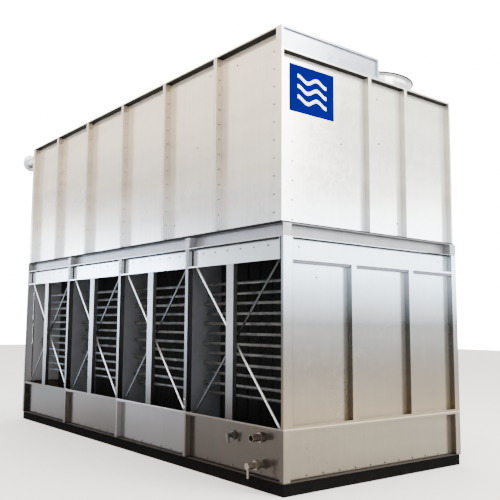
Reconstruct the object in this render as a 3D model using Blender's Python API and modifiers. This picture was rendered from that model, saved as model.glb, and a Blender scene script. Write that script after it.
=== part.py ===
"""Closed-circuit cooling tower on a skid: a basin, an air-inlet section, a casing and four roof fans.

+X is the long side, -Y is the air-inlet front, +Z is up, and the origin is under the middle of the skid.
"""

from math import atan2, cos, hypot, pi, radians, sin, tau

import bmesh
import bpy
from mathutils import Matrix, Vector

# Overall sizes, over the corner posts
BAYS = 4
BAY_PITCH = 1.50
CORNER_OVERHANG = 0.05
DEPTH = 2.70
SHEET = 0.004
GAP = 0.0003
CUTTER_REACH = 0.10

# Heights above the ground, and the ledge between the casings
SKID_TOP = 0.11
BASIN_TOP = 0.59
INLET_TOP = 2.13
LOWER_TOP = 2.345
LEDGE_HEIGHT = 0.125
DECK_HEIGHT = 4.165
ROOF_HEIGHT = 4.39

# Skid
SKID_BEAM = 0.10
SKID_INSET = 0.012

# Lower casing and basin
COLUMN_WIDTH = 0.05
COLUMN_DEPTH = 0.08
COLUMN_WEB = 0.006
POST_FRONT_WIDTH = 0.03
POST_END_WIDTH = 0.116
LOWER_RECESS = 0.06
RIM_HEIGHT = 0.03
END_RIB = 0.07
END_RIB_CENTRES = (0.96, 1.87)
REAR_LIP = 0.08
BAND_LIP = 0.02
FASCIA_LIP = 0.012
MULLION_WIDTH = 0.11
MULLION_DEPTH = 0.05

# Upper casing
UPPER_PANELS = 6
UPPER_RECESS = 0.085
UPPER_SETBACK = 0.025
SEAM_OFFSET = 0.04
PANEL_LIP = 0.024
TOP_LIP = 0.015
UPPER_END_RECESS = 0.065
UPPER_END_LIP = 0.022
CORNER_CLEARANCE = 0.002
UPPER_END_RIB = 0.045
UPPER_END_RIB_CENTRES = (1.267, 1.87)
RAISED_RIM = 0.022

# Ledge channel between the two casings
LEDGE_WEB = 0.10
GUSSET_TOP = 0.10
GUSSET_FOOT = 0.05

# Bracing, partitions and coil behind the air inlet
BRACE_INSET = 0.10
BRACE_LAP = 0.05
BRACE_WIDTH = 0.022
BRACE_THICKNESS = 0.010
PARTITION = 0.006
TUBE_RADIUS = 0.017
COIL_RUNS = 12
COIL_DROP = 0.175
COIL_PITCH = 0.106
COIL_SETBACK = 0.25
COIL_ROW_STEP = 0.05
COIL_END_CLEARANCE = 0.023
ELIMINATOR_SETBACK = 0.48
ELIMINATOR_DEPTH = 0.06
ELIMINATOR_PITCH = 0.10

# Fans on the deck
FAN_MARGIN = 0.04
FAN_RIM_RADIUS = 0.60
FAN_HEIGHT = 0.25
FAN_FLARE = 0.07
FAN_FLARE_WIDTH = 0.046
FAN_FOOT = 0.035
FAN_WALL = 0.004
FAN_SIDES = 32
BLADES = 6
BLADE_TIP_CLEARANCE = 0.012
BLADE_ROOT_CHORD = 0.20
BLADE_TIP_CHORD = 0.13
BLADE_ROOT_PITCH = radians(38)
BLADE_TIP_PITCH = radians(18)
BLADE_THICKNESS = 0.008
CAMBER_RATIO = 0.10
HUB_RADIUS = 0.10
HUB_HEIGHT = 0.09
HUB_OVERLAP = 0.04
FAN_PLANE = 0.12
MOTOR_RADIUS = 0.082
MOTOR_FOOT_MARGIN = 0.02
MOTOR_HEIGHT = 0.22
SHAFT_RADIUS = 0.02
SHAFT_HEIGHT = 0.06
RAIL_SIZE = 0.06
RAIL_SPREAD = 0.24

# Water connections
HEADER_SETBACK = 0.185
HEADER_RADIUS = 0.084
HEADER_WALL = 0.006
HEADER_REACH = 0.55
HEADER_DEEP = 0.12
FLANGE_RADIUS = 0.145
FLANGE_THICKNESS = 0.022
OVERFLOW_REACH = 0.13
DRAIN_REACH = 0.18
STUB_WALL = 0.004
STUB_SETBACK = 0.365
OVERFLOW_DROP = 0.117
OVERFLOW_RADIUS = 0.034
OVERFLOW_COLLAR = 0.012
OVERFLOW_COLLAR_LENGTH = 0.03
DRAIN_RISE = 0.115
DRAIN_RADIUS = 0.030
DRAIN_COLLAR = 0.014
DRAIN_COLLAR_LENGTH = 0.03
DRAIN_COLLAR_SETBACK = 0.05
SPOUT_RADIUS = 0.010
SPOUT_SETBACK = 0.015
SPOUT_DROP = 0.11
FILL_SPACING = 0.415
FILL_DROP = 0.150
FILL_RADIUS = 0.020
BOSS_RADIUS = 0.045
BOSS_DEPTH = 0.018
ELBOW_REACH = 0.09
ELBOW_DROP = 0.07
ELBOW_PIPE_RADIUS = 0.014
ELBOW_PIPE_SETBACK = 0.02

# Worked out from the sizes above
LENGTH = BAYS * BAY_PITCH + 2 * CORNER_OVERHANG
FRONT = -DEPTH / 2
BACK = DEPTH / 2
END = LENGTH / 2
UPPER_END = END - UPPER_SETBACK
UPPER_BOTTOM = LOWER_TOP + LEDGE_HEIGHT
CORNER_LIP = UPPER_END_RECESS + 2 * SHEET + CORNER_CLEARANCE
BRACE_Y = FRONT + LOWER_RECESS + SHEET + GAP + BRACE_THICKNESS / 2
INSIDE = END - LOWER_RECESS - SHEET - GAP
FLOOR_TOP = SKID_TOP + GAP + SHEET
COIL_HALF_RUN = INSIDE - COIL_PITCH - TUBE_RADIUS - COIL_END_CLEARANCE
FAN_Y = BACK - FAN_RIM_RADIUS - FAN_MARGIN
FAN_THROAT_RADIUS = FAN_RIM_RADIUS - FAN_WALL - FAN_FLARE_WIDTH
RAISED_BACK = FAN_Y - FAN_RIM_RADIUS - FAN_MARGIN
HEADER_Y = FRONT + HEADER_SETBACK
HEADER_Z = (DECK_HEIGHT + ROOF_HEIGHT) / 2
STUB_X = END - STUB_SETBACK

# Colour, roughness and metallic value of each material
FINISHES = {
    "galvanised sheet": ((0.66, 0.65, 0.62), 0.42, 0.55),
    "galvanised steel": ((0.58, 0.59, 0.60), 0.38, 0.75),
    "skid black": ((0.012, 0.012, 0.013), 0.55, 0.0),
    "coil steel": ((0.42, 0.43, 0.45), 0.35, 0.85),
    "eliminator plastic": ((0.010, 0.011, 0.012), 0.60, 0.0),
    "fan aluminium": ((0.60, 0.61, 0.63), 0.35, 0.85),
}


def material_for(name):
    material = bpy.data.materials.get(name)
    if material is None:
        colour, roughness, metallic = FINISHES[name]
        material = bpy.data.materials.new(name)
        material.use_nodes = True
        shader = material.node_tree.nodes["Principled BSDF"]
        shader.inputs["Base Color"].default_value = (*colour, 1.0)
        shader.inputs["Roughness"].default_value = roughness
        shader.inputs["Metallic"].default_value = metallic
    return material


def add_object(name, mesh_maker, finish, location=(0, 0, 0), turn=0.0, collection="cooling_tower"):
    """Fill a mesh with mesh_maker and place it as one named object."""
    mesh = bpy.data.meshes.new(name)
    bm = bmesh.new()
    mesh_maker(bm)
    bm.to_mesh(mesh)
    bm.free()
    thing = bpy.data.objects.new(name, mesh)
    thing.location = location
    thing.rotation_euler = (0, 0, turn)
    if finish is not None:
        mesh.materials.append(material_for(finish))
    bpy.data.collections[collection].objects.link(thing)
    return thing


def add_box(bm, low, high):
    """One closed box between two corners."""
    low = Vector(low)
    high = Vector(high)
    middle = Matrix.Translation((low + high) / 2)
    size = Matrix.Diagonal((*(high - low), 1.0))
    return bmesh.ops.create_cube(bm, size=1.0, matrix=middle @ size)["verts"]


def add_cylinder(bm, radius, low, high, sides=16):
    """One closed cylinder whose axis runs between two points."""
    low = Vector(low)
    high = Vector(high)
    turn = Vector((0, 0, 1)).rotation_difference((high - low).normalized()).to_matrix().to_4x4()
    place = Matrix.Translation((low + high) / 2) @ turn
    return bmesh.ops.create_cone(
        bm, cap_ends=True, segments=sides, radius1=radius, radius2=radius,
        depth=(high - low).length, matrix=place)["verts"]


def solidify(thing, thickness=SHEET, offset=-1.0):
    modifier = thing.modifiers.new("sheet", "SOLIDIFY")
    modifier.thickness = thickness
    modifier.offset = offset
    modifier.solidify_mode = "NON_MANIFOLD"
    modifier.nonmanifold_thickness_mode = "CONSTRAINTS"
    modifier.nonmanifold_merge_threshold = 0.00001
    return modifier


def boolean(thing, operation, cutter):
    modifier = thing.modifiers.new(operation.lower(), "BOOLEAN")
    modifier.operation = operation
    modifier.solver = "EXACT"
    modifier.object = cutter
    return modifier


def add_cutter(name, mesh_maker, location=(0, 0, 0)):
    cutter = add_object(name, mesh_maker, None, location, collection="cutters")
    cutter.hide_render = True
    cutter.display_type = "WIRE"
    return cutter


def folded_box(name, low, high, open_sides, finish, sheet=SHEET):
    """A channel, angle or lid: a box without its open sides, given a sheet's thickness inwards."""
    directions = {"-X": (-1, 0, 0), "+X": (1, 0, 0), "-Y": (0, -1, 0),
                  "+Y": (0, 1, 0), "-Z": (0, 0, -1), "+Z": (0, 0, 1)}

    def make(bm):
        add_box(bm, low, high)
        bm.normal_update()
        away = [Vector(directions[side]) for side in open_sides]
        gone = [face for face in bm.faces if any(face.normal.dot(way) > 0.9 for way in away)]
        bmesh.ops.delete(bm, geom=gone, context="FACES")

    thing = add_object(name, make, finish)
    solidify(thing, sheet)
    return thing


def tray_wall(name, width, height, fields_u, fields_v, recess, location, turn, plain_rows=()):
    """A pressed wall that faces local -Y: flat lips stay in its plane and each field is set back.

    fields_u and fields_v are the fields' spans from the wall's left edge and from its foot, and the
    plain rows are pressed across the ribs too. A field that reaches the wall's edge keeps a flange
    there instead of a lip, with its sheet inside the edge.
    """
    rows = [*fields_v, *plain_rows]

    def is_field(face):
        centre = face.calc_center_median()
        inside_u = any(low < centre.x < high for low, high in fields_u)
        inside_v = any(low < centre.z < high for low, high in fields_v)
        across = fields_u[0][0] < centre.x < fields_u[-1][1]
        plain = any(low < centre.z < high for low, high in plain_rows)
        return (inside_u and inside_v) or (across and plain)

    low_u = SHEET if fields_u[0][0] <= 0 else 0
    high_u = width - (SHEET if fields_u[-1][1] >= width else 0)
    low_v = SHEET if rows[0][0] <= 0 else 0
    high_v = height - (SHEET if rows[-1][1] >= height else 0)

    def make(bm):
        middle = Matrix.Translation(((low_u + high_u) / 2, 0, (low_v + high_v) / 2))
        size = Matrix.Diagonal((high_u - low_u, high_v - low_v, 1, 1))
        bmesh.ops.create_grid(bm, x_segments=1, y_segments=1, size=0.5,
                              matrix=middle @ Matrix.Rotation(pi / 2, 4, "X") @ size)
        cuts = [(u, Vector((1, 0, 0))) for span in fields_u for u in span if low_u < u < high_u]
        cuts += [(v, Vector((0, 0, 1))) for span in rows for v in span if low_v < v < high_v]
        for distance, way in cuts:
            bmesh.ops.bisect_plane(bm, geom=bm.verts[:] + bm.edges[:] + bm.faces[:],
                                   plane_co=way * distance, plane_no=way)
        shared = [edge for edge in bm.edges
                  if len(edge.link_faces) == 2 and all(is_field(face) for face in edge.link_faces)]
        bmesh.ops.dissolve_edges(bm, edges=shared, use_verts=False)
        fields = [face for face in bm.faces if is_field(face)]
        pressed = bmesh.ops.extrude_discrete_faces(bm, faces=fields)["faces"]
        corners = {vert for face in pressed for vert in face.verts}
        bmesh.ops.translate(bm, vec=(0, recess, 0), verts=list(corners))

    wall = add_object(name, make, "galvanised sheet", location, turn)
    solidify(wall)
    return wall


def spans_between(length, ribs, start_lip, end_lip):
    """The fields' spans along a wall between its two lips and its ribs, given as (centre, width)."""
    edges = [start_lip]
    for centre, width in ribs:
        edges += [centre - width / 2, centre + width / 2]
    edges.append(length - end_lip)
    return list(zip(edges[0::2], edges[1::2]))


def turned(name, profile, sides, finish, location=(0, 0, 0), rotation=(0, 0, 0)):
    """A ring-like body: a closed profile of (radius, height) points, turned about local Z."""

    def make(bm):
        points = [bm.verts.new((radius, 0, height)) for radius, height in profile]
        for here, after in zip(points, points[1:] + points[:1]):
            bm.edges.new((here, after))

    thing = add_object(name, make, finish, location)
    thing.rotation_euler = rotation
    screw = thing.modifiers.new("turn", "SCREW")
    screw.axis = "Z"
    screw.steps = sides
    screw.render_steps = sides
    screw.use_merge_vertices = True
    screw.merge_threshold = 0.0001
    screw.use_normal_calculate = True
    screw.use_normal_flip = True
    return thing


def bay_lines():
    """X of the columns between the bays."""
    return [(number - BAYS / 2) * BAY_PITCH for number in range(1, BAYS)]


def fan_centres():
    """X of the fans, one in the middle of each bay."""
    return [(number - (BAYS - 1) / 2) * BAY_PITCH for number in range(BAYS)]


def make_skid():
    half_x = END - SKID_INSET
    half_y = BACK - SKID_INSET
    skid = add_object(
        "skid_frame", lambda bm: add_box(bm, (-half_x, -half_y, 0), (half_x, half_y, SKID_TOP)), "skid black")
    lines = [-half_x + SKID_BEAM / 2, *bay_lines(), half_x - SKID_BEAM / 2]

    def pockets(bm):
        for left, right in zip(lines, lines[1:]):
            add_box(bm, (left + SKID_BEAM / 2, SKID_BEAM - half_y, -SKID_TOP),
                    (right - SKID_BEAM / 2, half_y - SKID_BEAM, 2 * SKID_TOP))

    boolean(skid, "DIFFERENCE", add_cutter("skid_pockets", pockets))


def make_basin():
    foot = SKID_TOP + GAP
    height = BASIN_TOP - foot
    ribs = [(END + x, COLUMN_WIDTH) for x in bay_lines()]
    long_fields = spans_between(LENGTH, ribs, COLUMN_WIDTH, COLUMN_WIDTH)
    rows = [(0, height - RIM_HEIGHT)]
    tray_wall("basin_front", LENGTH, height, long_fields, rows, LOWER_RECESS, (-END, FRONT, foot), 0)
    tray_wall("basin_back", LENGTH, height, long_fields, rows, LOWER_RECESS, (END, BACK, foot), pi)
    width = DEPTH - 2 * (SHEET + GAP)
    end_fields = [(REAR_LIP, width - REAR_LIP)]
    tray_wall("basin_end_right", width, height, end_fields, rows, LOWER_RECESS,
              (END, -width / 2, foot), pi / 2)
    tray_wall("basin_end_left", width, height, end_fields, rows, LOWER_RECESS,
              (-END, width / 2, foot), -pi / 2)
    half_y = BACK - LOWER_RECESS - SHEET - GAP
    add_object("basin_floor", lambda bm: add_box(bm, (-INSIDE, -half_y, foot), (INSIDE, half_y, FLOOR_TOP)),
               "galvanised sheet")


def make_lower_frame():
    foot = BASIN_TOP + GAP
    top = LOWER_TOP - GAP
    for number, x in enumerate(bay_lines(), 1):
        add_tee_column(f"inlet_column_{number}", x, foot, top)
    for side, name in ((-1, "corner_post_left"), (1, "corner_post_right")):
        inner = side * (END - POST_FRONT_WIDTH)
        outer = side * END
        folded_box(name, (min(inner, outer), FRONT, foot),
                   (max(inner, outer), FRONT + POST_END_WIDTH, top),
                   ("+Y", "-Z", "+Z", "-X" if side > 0 else "+X"), "galvanised steel")


def add_tee_column(name, x, foot, top):
    """A T-section: its flange lies in the front plane and its web runs back to the tube plate."""
    flange = COLUMN_WIDTH / 2
    web = COLUMN_WEB / 2
    half = [(flange, 0), (flange, SHEET), (web, SHEET), (web, COLUMN_DEPTH)]
    outline = half + [(-across, deep) for across, deep in reversed(half)]

    def make(bm):
        section = bm.faces.new([bm.verts.new((across, deep, 0)) for across, deep in outline])
        raised = bmesh.ops.extrude_face_region(bm, geom=[section])["geom"]
        rising = [item for item in raised if isinstance(item, bmesh.types.BMVert)]
        bmesh.ops.translate(bm, vec=(0, 0, top - foot), verts=rising)
        bmesh.ops.recalc_face_normals(bm, faces=bm.faces[:])

    return add_object(name, make, "galvanised steel", (x, FRONT, foot))


def make_inlet_bays():
    """Fascia panels, mullions and crossed braces, one set to a bay."""
    lines = [-END + COLUMN_WIDTH / 2, *bay_lines(), END - COLUMN_WIDTH / 2]
    for number, (left, right) in enumerate(zip(lines, lines[1:]), 1):
        low_x = max(left + COLUMN_WIDTH / 2, POST_FRONT_WIDTH - END) + GAP
        high_x = min(right - COLUMN_WIDTH / 2, END - POST_FRONT_WIDTH) - GAP
        middle = (low_x + high_x) / 2
        height = LOWER_TOP - GAP - INLET_TOP
        width = high_x - low_x
        tray_wall(f"inlet_fascia_{number}", width, height, [(0, width)], [(FASCIA_LIP, height)],
                  LOWER_RECESS, (low_x, FRONT, INLET_TOP), 0)
        folded_box(f"inlet_mullion_{number}", (middle - MULLION_WIDTH / 2, FRONT, BASIN_TOP + GAP),
                   (middle + MULLION_WIDTH / 2, FRONT + MULLION_DEPTH, INLET_TOP - GAP),
                   ("+Y", "-Z", "+Z"), "galvanised steel")
        make_brace(number, left + BRACE_INSET, right - BRACE_INSET)


def make_brace(number, left, right):
    """Two flat bars crossed behind the fascia and the basin's rim, with their ends cut level."""
    width = right - left
    height = INLET_TOP - BASIN_TOP
    middle = Vector(((left + right) / 2, BRACE_Y, (INLET_TOP + BASIN_TOP) / 2))
    slope = atan2(height, width)
    half = Vector((hypot(width, height) / 2 + 3 * BRACE_LAP, BRACE_THICKNESS / 2, BRACE_WIDTH / 2))

    def bar(sign):
        def make(bm):
            turn = Matrix.Rotation(-sign * slope, 4, "Y")
            verts = add_box(bm, -half, half)
            bmesh.ops.transform(bm, matrix=Matrix.Translation(middle) @ turn, verts=verts)
        return make

    brace = add_object(f"inlet_brace_{number}", bar(1), "galvanised steel")
    boolean(brace, "UNION", add_cutter(f"brace_bar_{number}", bar(-1)))
    level = add_cutter(f"brace_trim_{number}", lambda bm: add_box(
        bm, (left - CUTTER_REACH, BRACE_Y - CUTTER_REACH, BASIN_TOP - BRACE_LAP),
        (right + CUTTER_REACH, BRACE_Y + CUTTER_REACH, INLET_TOP + BRACE_LAP)))
    boolean(brace, "INTERSECT", level)


def make_lower_walls():
    foot = BASIN_TOP + GAP
    height = LOWER_TOP - GAP - foot
    band = INLET_TOP - foot
    rows = [(BAND_LIP, band)]
    band_row = [(band + BAND_LIP, height)]
    width = DEPTH - POST_END_WIDTH - SHEET - 2 * GAP
    first = FRONT + POST_END_WIDTH + GAP
    ribs = [(centre + FRONT - first, END_RIB) for centre in END_RIB_CENTRES]
    fields = spans_between(width, ribs, 0, REAR_LIP)
    tray_wall("lower_end_right", width, height, fields, rows, LOWER_RECESS, (END, first, foot), pi / 2,
              band_row)
    mirrored = [(width - high, width - low) for low, high in reversed(fields)]
    tray_wall("lower_end_left", width, height, mirrored, rows, LOWER_RECESS,
              (-END, first + width, foot), -pi / 2, band_row)
    back_ribs = [(END + x, END_RIB) for x in bay_lines()]
    tray_wall("lower_back", LENGTH, height, spans_between(LENGTH, back_ribs, COLUMN_WIDTH, COLUMN_WIDTH),
              rows, LOWER_RECESS, (END, BACK, foot), pi, band_row)


def make_ledge():
    """The outward-facing channel between the casings, with a stiffener at every second column."""
    low = LOWER_TOP
    high = UPPER_BOTTOM - GAP
    front = folded_box("ledge_front", (-END, FRONT, low), (END, FRONT + LEDGE_WEB, high), ("-Y",),
                       "galvanised steel")

    def stiffeners(bm):
        for x in (bay_lines()[0], bay_lines()[-1]):
            verts = add_box(bm, (x - GUSSET_TOP / 2, FRONT + SHEET, low + SHEET / 2),
                            (x + GUSSET_TOP / 2, FRONT + LEDGE_WEB - SHEET / 2, high - SHEET / 2))
            for vert in verts:
                if vert.co.z < (low + high) / 2:
                    vert.co.x = x + (GUSSET_FOOT / 2 if vert.co.x > x else -GUSSET_FOOT / 2)

    boolean(front, "UNION", add_cutter("ledge_stiffeners", stiffeners))
    folded_box("ledge_back", (-END, BACK - LEDGE_WEB, low), (END, BACK, high), ("+Y",), "galvanised steel")
    reach = BACK - LEDGE_WEB - GAP
    folded_box("ledge_end_right", (END - LEDGE_WEB, -reach, low), (END, reach, high), ("+X",),
               "galvanised steel")
    folded_box("ledge_end_left", (-END, -reach, low), (LEDGE_WEB - END, reach, high), ("-X",),
               "galvanised steel")


def make_partitions():
    """Tube plates on the column lines, drilled for every run of the coil."""
    front = FRONT + COLUMN_DEPTH + GAP
    back = FRONT + ELIMINATOR_SETBACK - GAP
    hole = (TUBE_RADIUS + GAP) / cos(pi / 12)
    for number, x in enumerate(bay_lines(), 1):
        plate = add_object(f"tube_plate_{number}", lambda bm, x=x: add_box(
            bm, (x - PARTITION / 2, front, FLOOR_TOP + GAP), (x + PARTITION / 2, back, LOWER_TOP - GAP)),
            "galvanised sheet")

        def holes(bm, x=x):
            for run in range(COIL_RUNS):
                y, z = tube_place(run)
                add_cylinder(bm, hole, (x - CUTTER_REACH, y, z), (x + CUTTER_REACH, y, z), sides=12)

        boolean(plate, "DIFFERENCE", add_cutter(f"tube_holes_{number}", holes))


def tube_place(run):
    """Y and Z of one run, counted from the top: the runs fall on two staggered rows in turn."""
    return FRONT + COIL_SETBACK + (run % 2) * COIL_ROW_STEP, INLET_TOP - COIL_DROP - run * COIL_PITCH


def make_coil():
    """Two serpentines, each with straight runs joined by half turns beyond the end bays."""
    for row, name in ((0, "coil_row_front"), (1, "coil_row_rear")):
        runs = [tube_place(run) for run in range(row, COIL_RUNS, 2)]
        y = runs[0][0]
        points = []
        side = -1
        for here, after in zip(runs, runs[1:]):
            points.append((side * COIL_HALF_RUN, y, here[1]))
            side = -side
            middle = (here[1] + after[1]) / 2
            radius = (here[1] - after[1]) / 2
            for step in range(7):
                angle = pi / 2 - step * pi / 6
                points.append((side * (COIL_HALF_RUN + radius * cos(angle)), y, middle + radius * sin(angle)))
        points.append((-side * COIL_HALF_RUN, y, runs[-1][1]))
        add_tube(name, points, TUBE_RADIUS, "coil steel")


def add_tube(name, points, radius, finish):
    """A round tube along a list of points, closed at both ends."""
    kept = [points[0]]
    for point in points[1:]:
        if (Vector(point) - Vector(kept[-1])).length > 1e-5:
            kept.append(point)
    curve = bpy.data.curves.new(name, "CURVE")
    curve.dimensions = "3D"
    spline = curve.splines.new("POLY")
    spline.points.add(len(kept) - 1)
    for point, place in zip(spline.points, kept):
        point.co = (*place, 1.0)
    curve.bevel_depth = radius
    curve.bevel_resolution = 2
    curve.use_fill_caps = True
    curve.materials.append(material_for(finish))
    tube = bpy.data.objects.new(name, curve)
    bpy.data.collections["cooling_tower"].objects.link(tube)
    return tube


def make_eliminator():
    """The black corrugated drift eliminator behind the coil."""
    folds = int(2 * (INSIDE - ELIMINATOR_PITCH / 2) / ELIMINATOR_PITCH)
    start = -folds * ELIMINATOR_PITCH / 2
    near = FRONT + ELIMINATOR_SETBACK + SHEET
    far = FRONT + ELIMINATOR_SETBACK + ELIMINATOR_DEPTH
    foot = FLOOR_TOP + GAP
    top = LOWER_TOP - GAP

    def make(bm):
        fold = [bm.verts.new((start + number * ELIMINATOR_PITCH, near if number % 2 else far, foot))
                for number in range(folds + 1)]
        for here, after in zip(fold, fold[1:]):
            bm.edges.new((here, after))
        raised = bmesh.ops.extrude_edge_only(bm, edges=bm.edges[:])["geom"]
        rising = [item for item in raised if isinstance(item, bmesh.types.BMVert)]
        bmesh.ops.translate(bm, vec=(0, 0, top - foot), verts=rising)

    sheet = add_object("drift_eliminator", make, "eliminator plastic")
    solidify(sheet, SHEET, 0.0)


def make_upper_walls():
    foot = UPPER_BOTTOM
    full = ROOF_HEIGHT - foot
    pitch = 2 * UPPER_END / UPPER_PANELS
    seams = [number * pitch - UPPER_END - SEAM_OFFSET for number in range(1, UPPER_PANELS)]
    for number, (left, right) in enumerate(zip([-UPPER_END, *seams], [*seams, UPPER_END]), 1):
        left += GAP / 2 if number > 1 else 0
        right -= GAP / 2 if number < UPPER_PANELS else 0
        start = PANEL_LIP if number > 1 else CORNER_LIP
        width = right - left
        finish = width - (PANEL_LIP if number < UPPER_PANELS else CORNER_LIP)
        tray_wall(f"upper_front_{number}", width, full, [(start, finish)], [(0, full - TOP_LIP)],
                  UPPER_RECESS, (left, FRONT, foot), 0)
    height = DECK_HEIGHT - GAP - foot
    rows = [(0, height - TOP_LIP)]
    back_ribs = [(number * pitch, 2 * PANEL_LIP) for number in range(1, UPPER_PANELS)]
    tray_wall("upper_back", 2 * UPPER_END, height,
              spans_between(2 * UPPER_END, back_ribs, CORNER_LIP, CORNER_LIP), rows, UPPER_RECESS,
              (UPPER_END, BACK, foot), pi)
    width = DEPTH - 2 * (SHEET + GAP)
    inset = SHEET + GAP
    ribs = [(centre - inset, UPPER_END_RIB) for centre in UPPER_END_RIB_CENTRES]
    fields = spans_between(width, ribs, UPPER_END_LIP, UPPER_END_LIP)
    tray_wall("upper_end_right", width, height, fields, rows, UPPER_END_RECESS,
              (UPPER_END, FRONT + inset, foot), pi / 2)
    mirrored = [(width - high, width - low) for low, high in reversed(fields)]
    tray_wall("upper_end_left", width, height, mirrored, rows, UPPER_END_RECESS,
              (-UPPER_END, BACK - inset, foot), -pi / 2)


def make_roof():
    """The raised cover over the spray section and the lower fan deck behind it."""

    def lid(bm):
        add_box(bm, (-UPPER_END, FRONT + SHEET + GAP, DECK_HEIGHT), (UPPER_END, RAISED_BACK, ROOF_HEIGHT))
        bm.normal_update()
        gone = [face for face in bm.faces if face.normal.z < -0.9 or face.normal.y < -0.9]
        bmesh.ops.delete(bm, geom=gone, context="FACES")
        ends = [face for face in bm.faces if abs(face.normal.x) > 0.9]
        bmesh.ops.inset_individual(bm, faces=ends, thickness=RAISED_RIM, use_even_offset=True)
        pressed = bmesh.ops.extrude_discrete_faces(bm, faces=ends)["faces"]
        for face in pressed:
            inward = -RAISED_RIM if face.calc_center_median().x > 0 else RAISED_RIM
            bmesh.ops.translate(bm, vec=(inward, 0, 0), verts=face.verts)

    cover = add_object("raised_cover", lid, "galvanised sheet")
    solidify(cover)
    hole = add_cutter("header_hole", lambda bm: add_cylinder(
        bm, (HEADER_RADIUS + GAP) / cos(pi / 32), (-UPPER_END - CUTTER_REACH, HEADER_Y, HEADER_Z),
        (-UPPER_END + CUTTER_REACH, HEADER_Y, HEADER_Z), sides=32))
    boolean(cover, "DIFFERENCE", hole)
    deck = add_object("fan_deck", lambda bm: add_box(
        bm, (-UPPER_END, RAISED_BACK + GAP, DECK_HEIGHT), (UPPER_END, BACK, DECK_HEIGHT + SHEET)),
        "galvanised sheet")

    def holes(bm):
        for x in fan_centres():
            add_cylinder(bm, FAN_THROAT_RADIUS, (x, FAN_Y, DECK_HEIGHT - CUTTER_REACH),
                         (x, FAN_Y, DECK_HEIGHT + CUTTER_REACH), sides=FAN_SIDES)

    boolean(deck, "DIFFERENCE", add_cutter("deck_holes", holes))


def make_fans():
    foot = DECK_HEIGHT + SHEET + GAP
    throat = FAN_THROAT_RADIUS
    inner = [(throat, 0), (throat, FAN_HEIGHT - FAN_FLARE)]
    inner += [(throat + FAN_FLARE_WIDTH * (1 - cos(angle)), FAN_HEIGHT - FAN_FLARE * (1 - sin(angle)))
              for angle in (pi / 6, pi / 3, pi / 2)]
    outer = [(radius + FAN_WALL, height) for radius, height in inner[1:]]
    base = [(throat + FAN_FOOT, 0), (throat + FAN_FOOT, FAN_WALL), (throat + FAN_WALL, FAN_WALL)]
    profile = base + outer + inner[::-1]
    for number, x in enumerate(fan_centres(), 1):
        turned(f"fan_cylinder_{number}", profile, FAN_SIDES, "galvanised sheet", (x, FAN_Y, foot))
        make_rotor(number, x, foot + FAN_PLANE)


def make_rotor(number, x, plane):
    """A hub with twisted, tapered blades that pass into it and are fused with it."""
    tip = FAN_THROAT_RADIUS - BLADE_TIP_CLEARANCE
    root = HUB_RADIUS - HUB_OVERLAP
    stations = 5

    def hub(bm):
        add_cylinder(bm, HUB_RADIUS, (0, 0, -HUB_HEIGHT / 2), (0, 0, HUB_HEIGHT / 2), sides=24)

    def blades(bm):
        for blade in range(BLADES):
            around = Matrix.Rotation(blade * tau / BLADES, 4, "Z")
            grid = bmesh.ops.create_grid(bm, x_segments=stations, y_segments=2, size=0.5)["verts"]
            for vert in grid:
                share = vert.co.x + 0.5
                chord = BLADE_ROOT_CHORD + share * (BLADE_TIP_CHORD - BLADE_ROOT_CHORD)
                pitch = BLADE_ROOT_PITCH + share * (BLADE_TIP_PITCH - BLADE_ROOT_PITCH)
                camber = CAMBER_RATIO * chord * (0.25 - vert.co.y ** 2)
                across = Vector((0, vert.co.y * chord, camber))
                across.rotate(Matrix.Rotation(pitch, 3, "X"))
                vert.co = around @ (Vector((root + share * (tip - root), 0, 0)) + across)

    rotor = add_object(f"fan_rotor_{number}", hub, "fan aluminium", (x, FAN_Y, plane))
    cutter = add_cutter(f"rotor_blades_{number}", blades, (x, FAN_Y, plane))
    solidify(cutter, BLADE_THICKNESS, 0.0)
    boolean(rotor, "UNION", cutter)


def make_motor_frame():
    """Two rails under the deck from end wall to end wall, with a motor and a shaft at each fan."""
    hub_foot = DECK_HEIGHT + SHEET + FAN_PLANE - HUB_HEIGHT / 2
    motor_top = hub_foot - SHAFT_HEIGHT
    rail_top = motor_top - MOTOR_HEIGHT
    half_x = UPPER_END - UPPER_END_RECESS - SHEET - GAP
    foot_half = MOTOR_RADIUS + MOTOR_FOOT_MARGIN

    def rail(bm, y):
        add_box(bm, (-half_x, y - RAIL_SIZE / 2, rail_top - RAIL_SIZE), (half_x, y + RAIL_SIZE / 2, rail_top))

    frame = add_object("fan_motor_frame", lambda bm: rail(bm, FAN_Y - RAIL_SPREAD / 2), "galvanised steel")

    def motors(bm):
        for x in fan_centres():
            add_box(bm, (x - foot_half, FAN_Y - RAIL_SPREAD / 2 - RAIL_SIZE / 4, rail_top - RAIL_SIZE / 2),
                    (x + foot_half, FAN_Y + RAIL_SPREAD / 2 + RAIL_SIZE / 4, rail_top + RAIL_SIZE / 4))

    def bodies(bm):
        for x in fan_centres():
            add_cylinder(bm, MOTOR_RADIUS, (x, FAN_Y, rail_top + RAIL_SIZE / 8), (x, FAN_Y, motor_top), sides=20)

    def shafts(bm):
        for x in fan_centres():
            add_cylinder(bm, SHAFT_RADIUS, (x, FAN_Y, motor_top - SHAFT_RADIUS), (x, FAN_Y, hub_foot), sides=12)

    boolean(frame, "UNION", add_cutter("motor_rail", lambda bm: rail(bm, FAN_Y + RAIL_SPREAD / 2)))
    boolean(frame, "UNION", add_cutter("motor_feet", motors))
    boolean(frame, "UNION", add_cutter("motor_bodies", bodies))
    boolean(frame, "UNION", add_cutter("motor_shafts", shafts))


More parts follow.
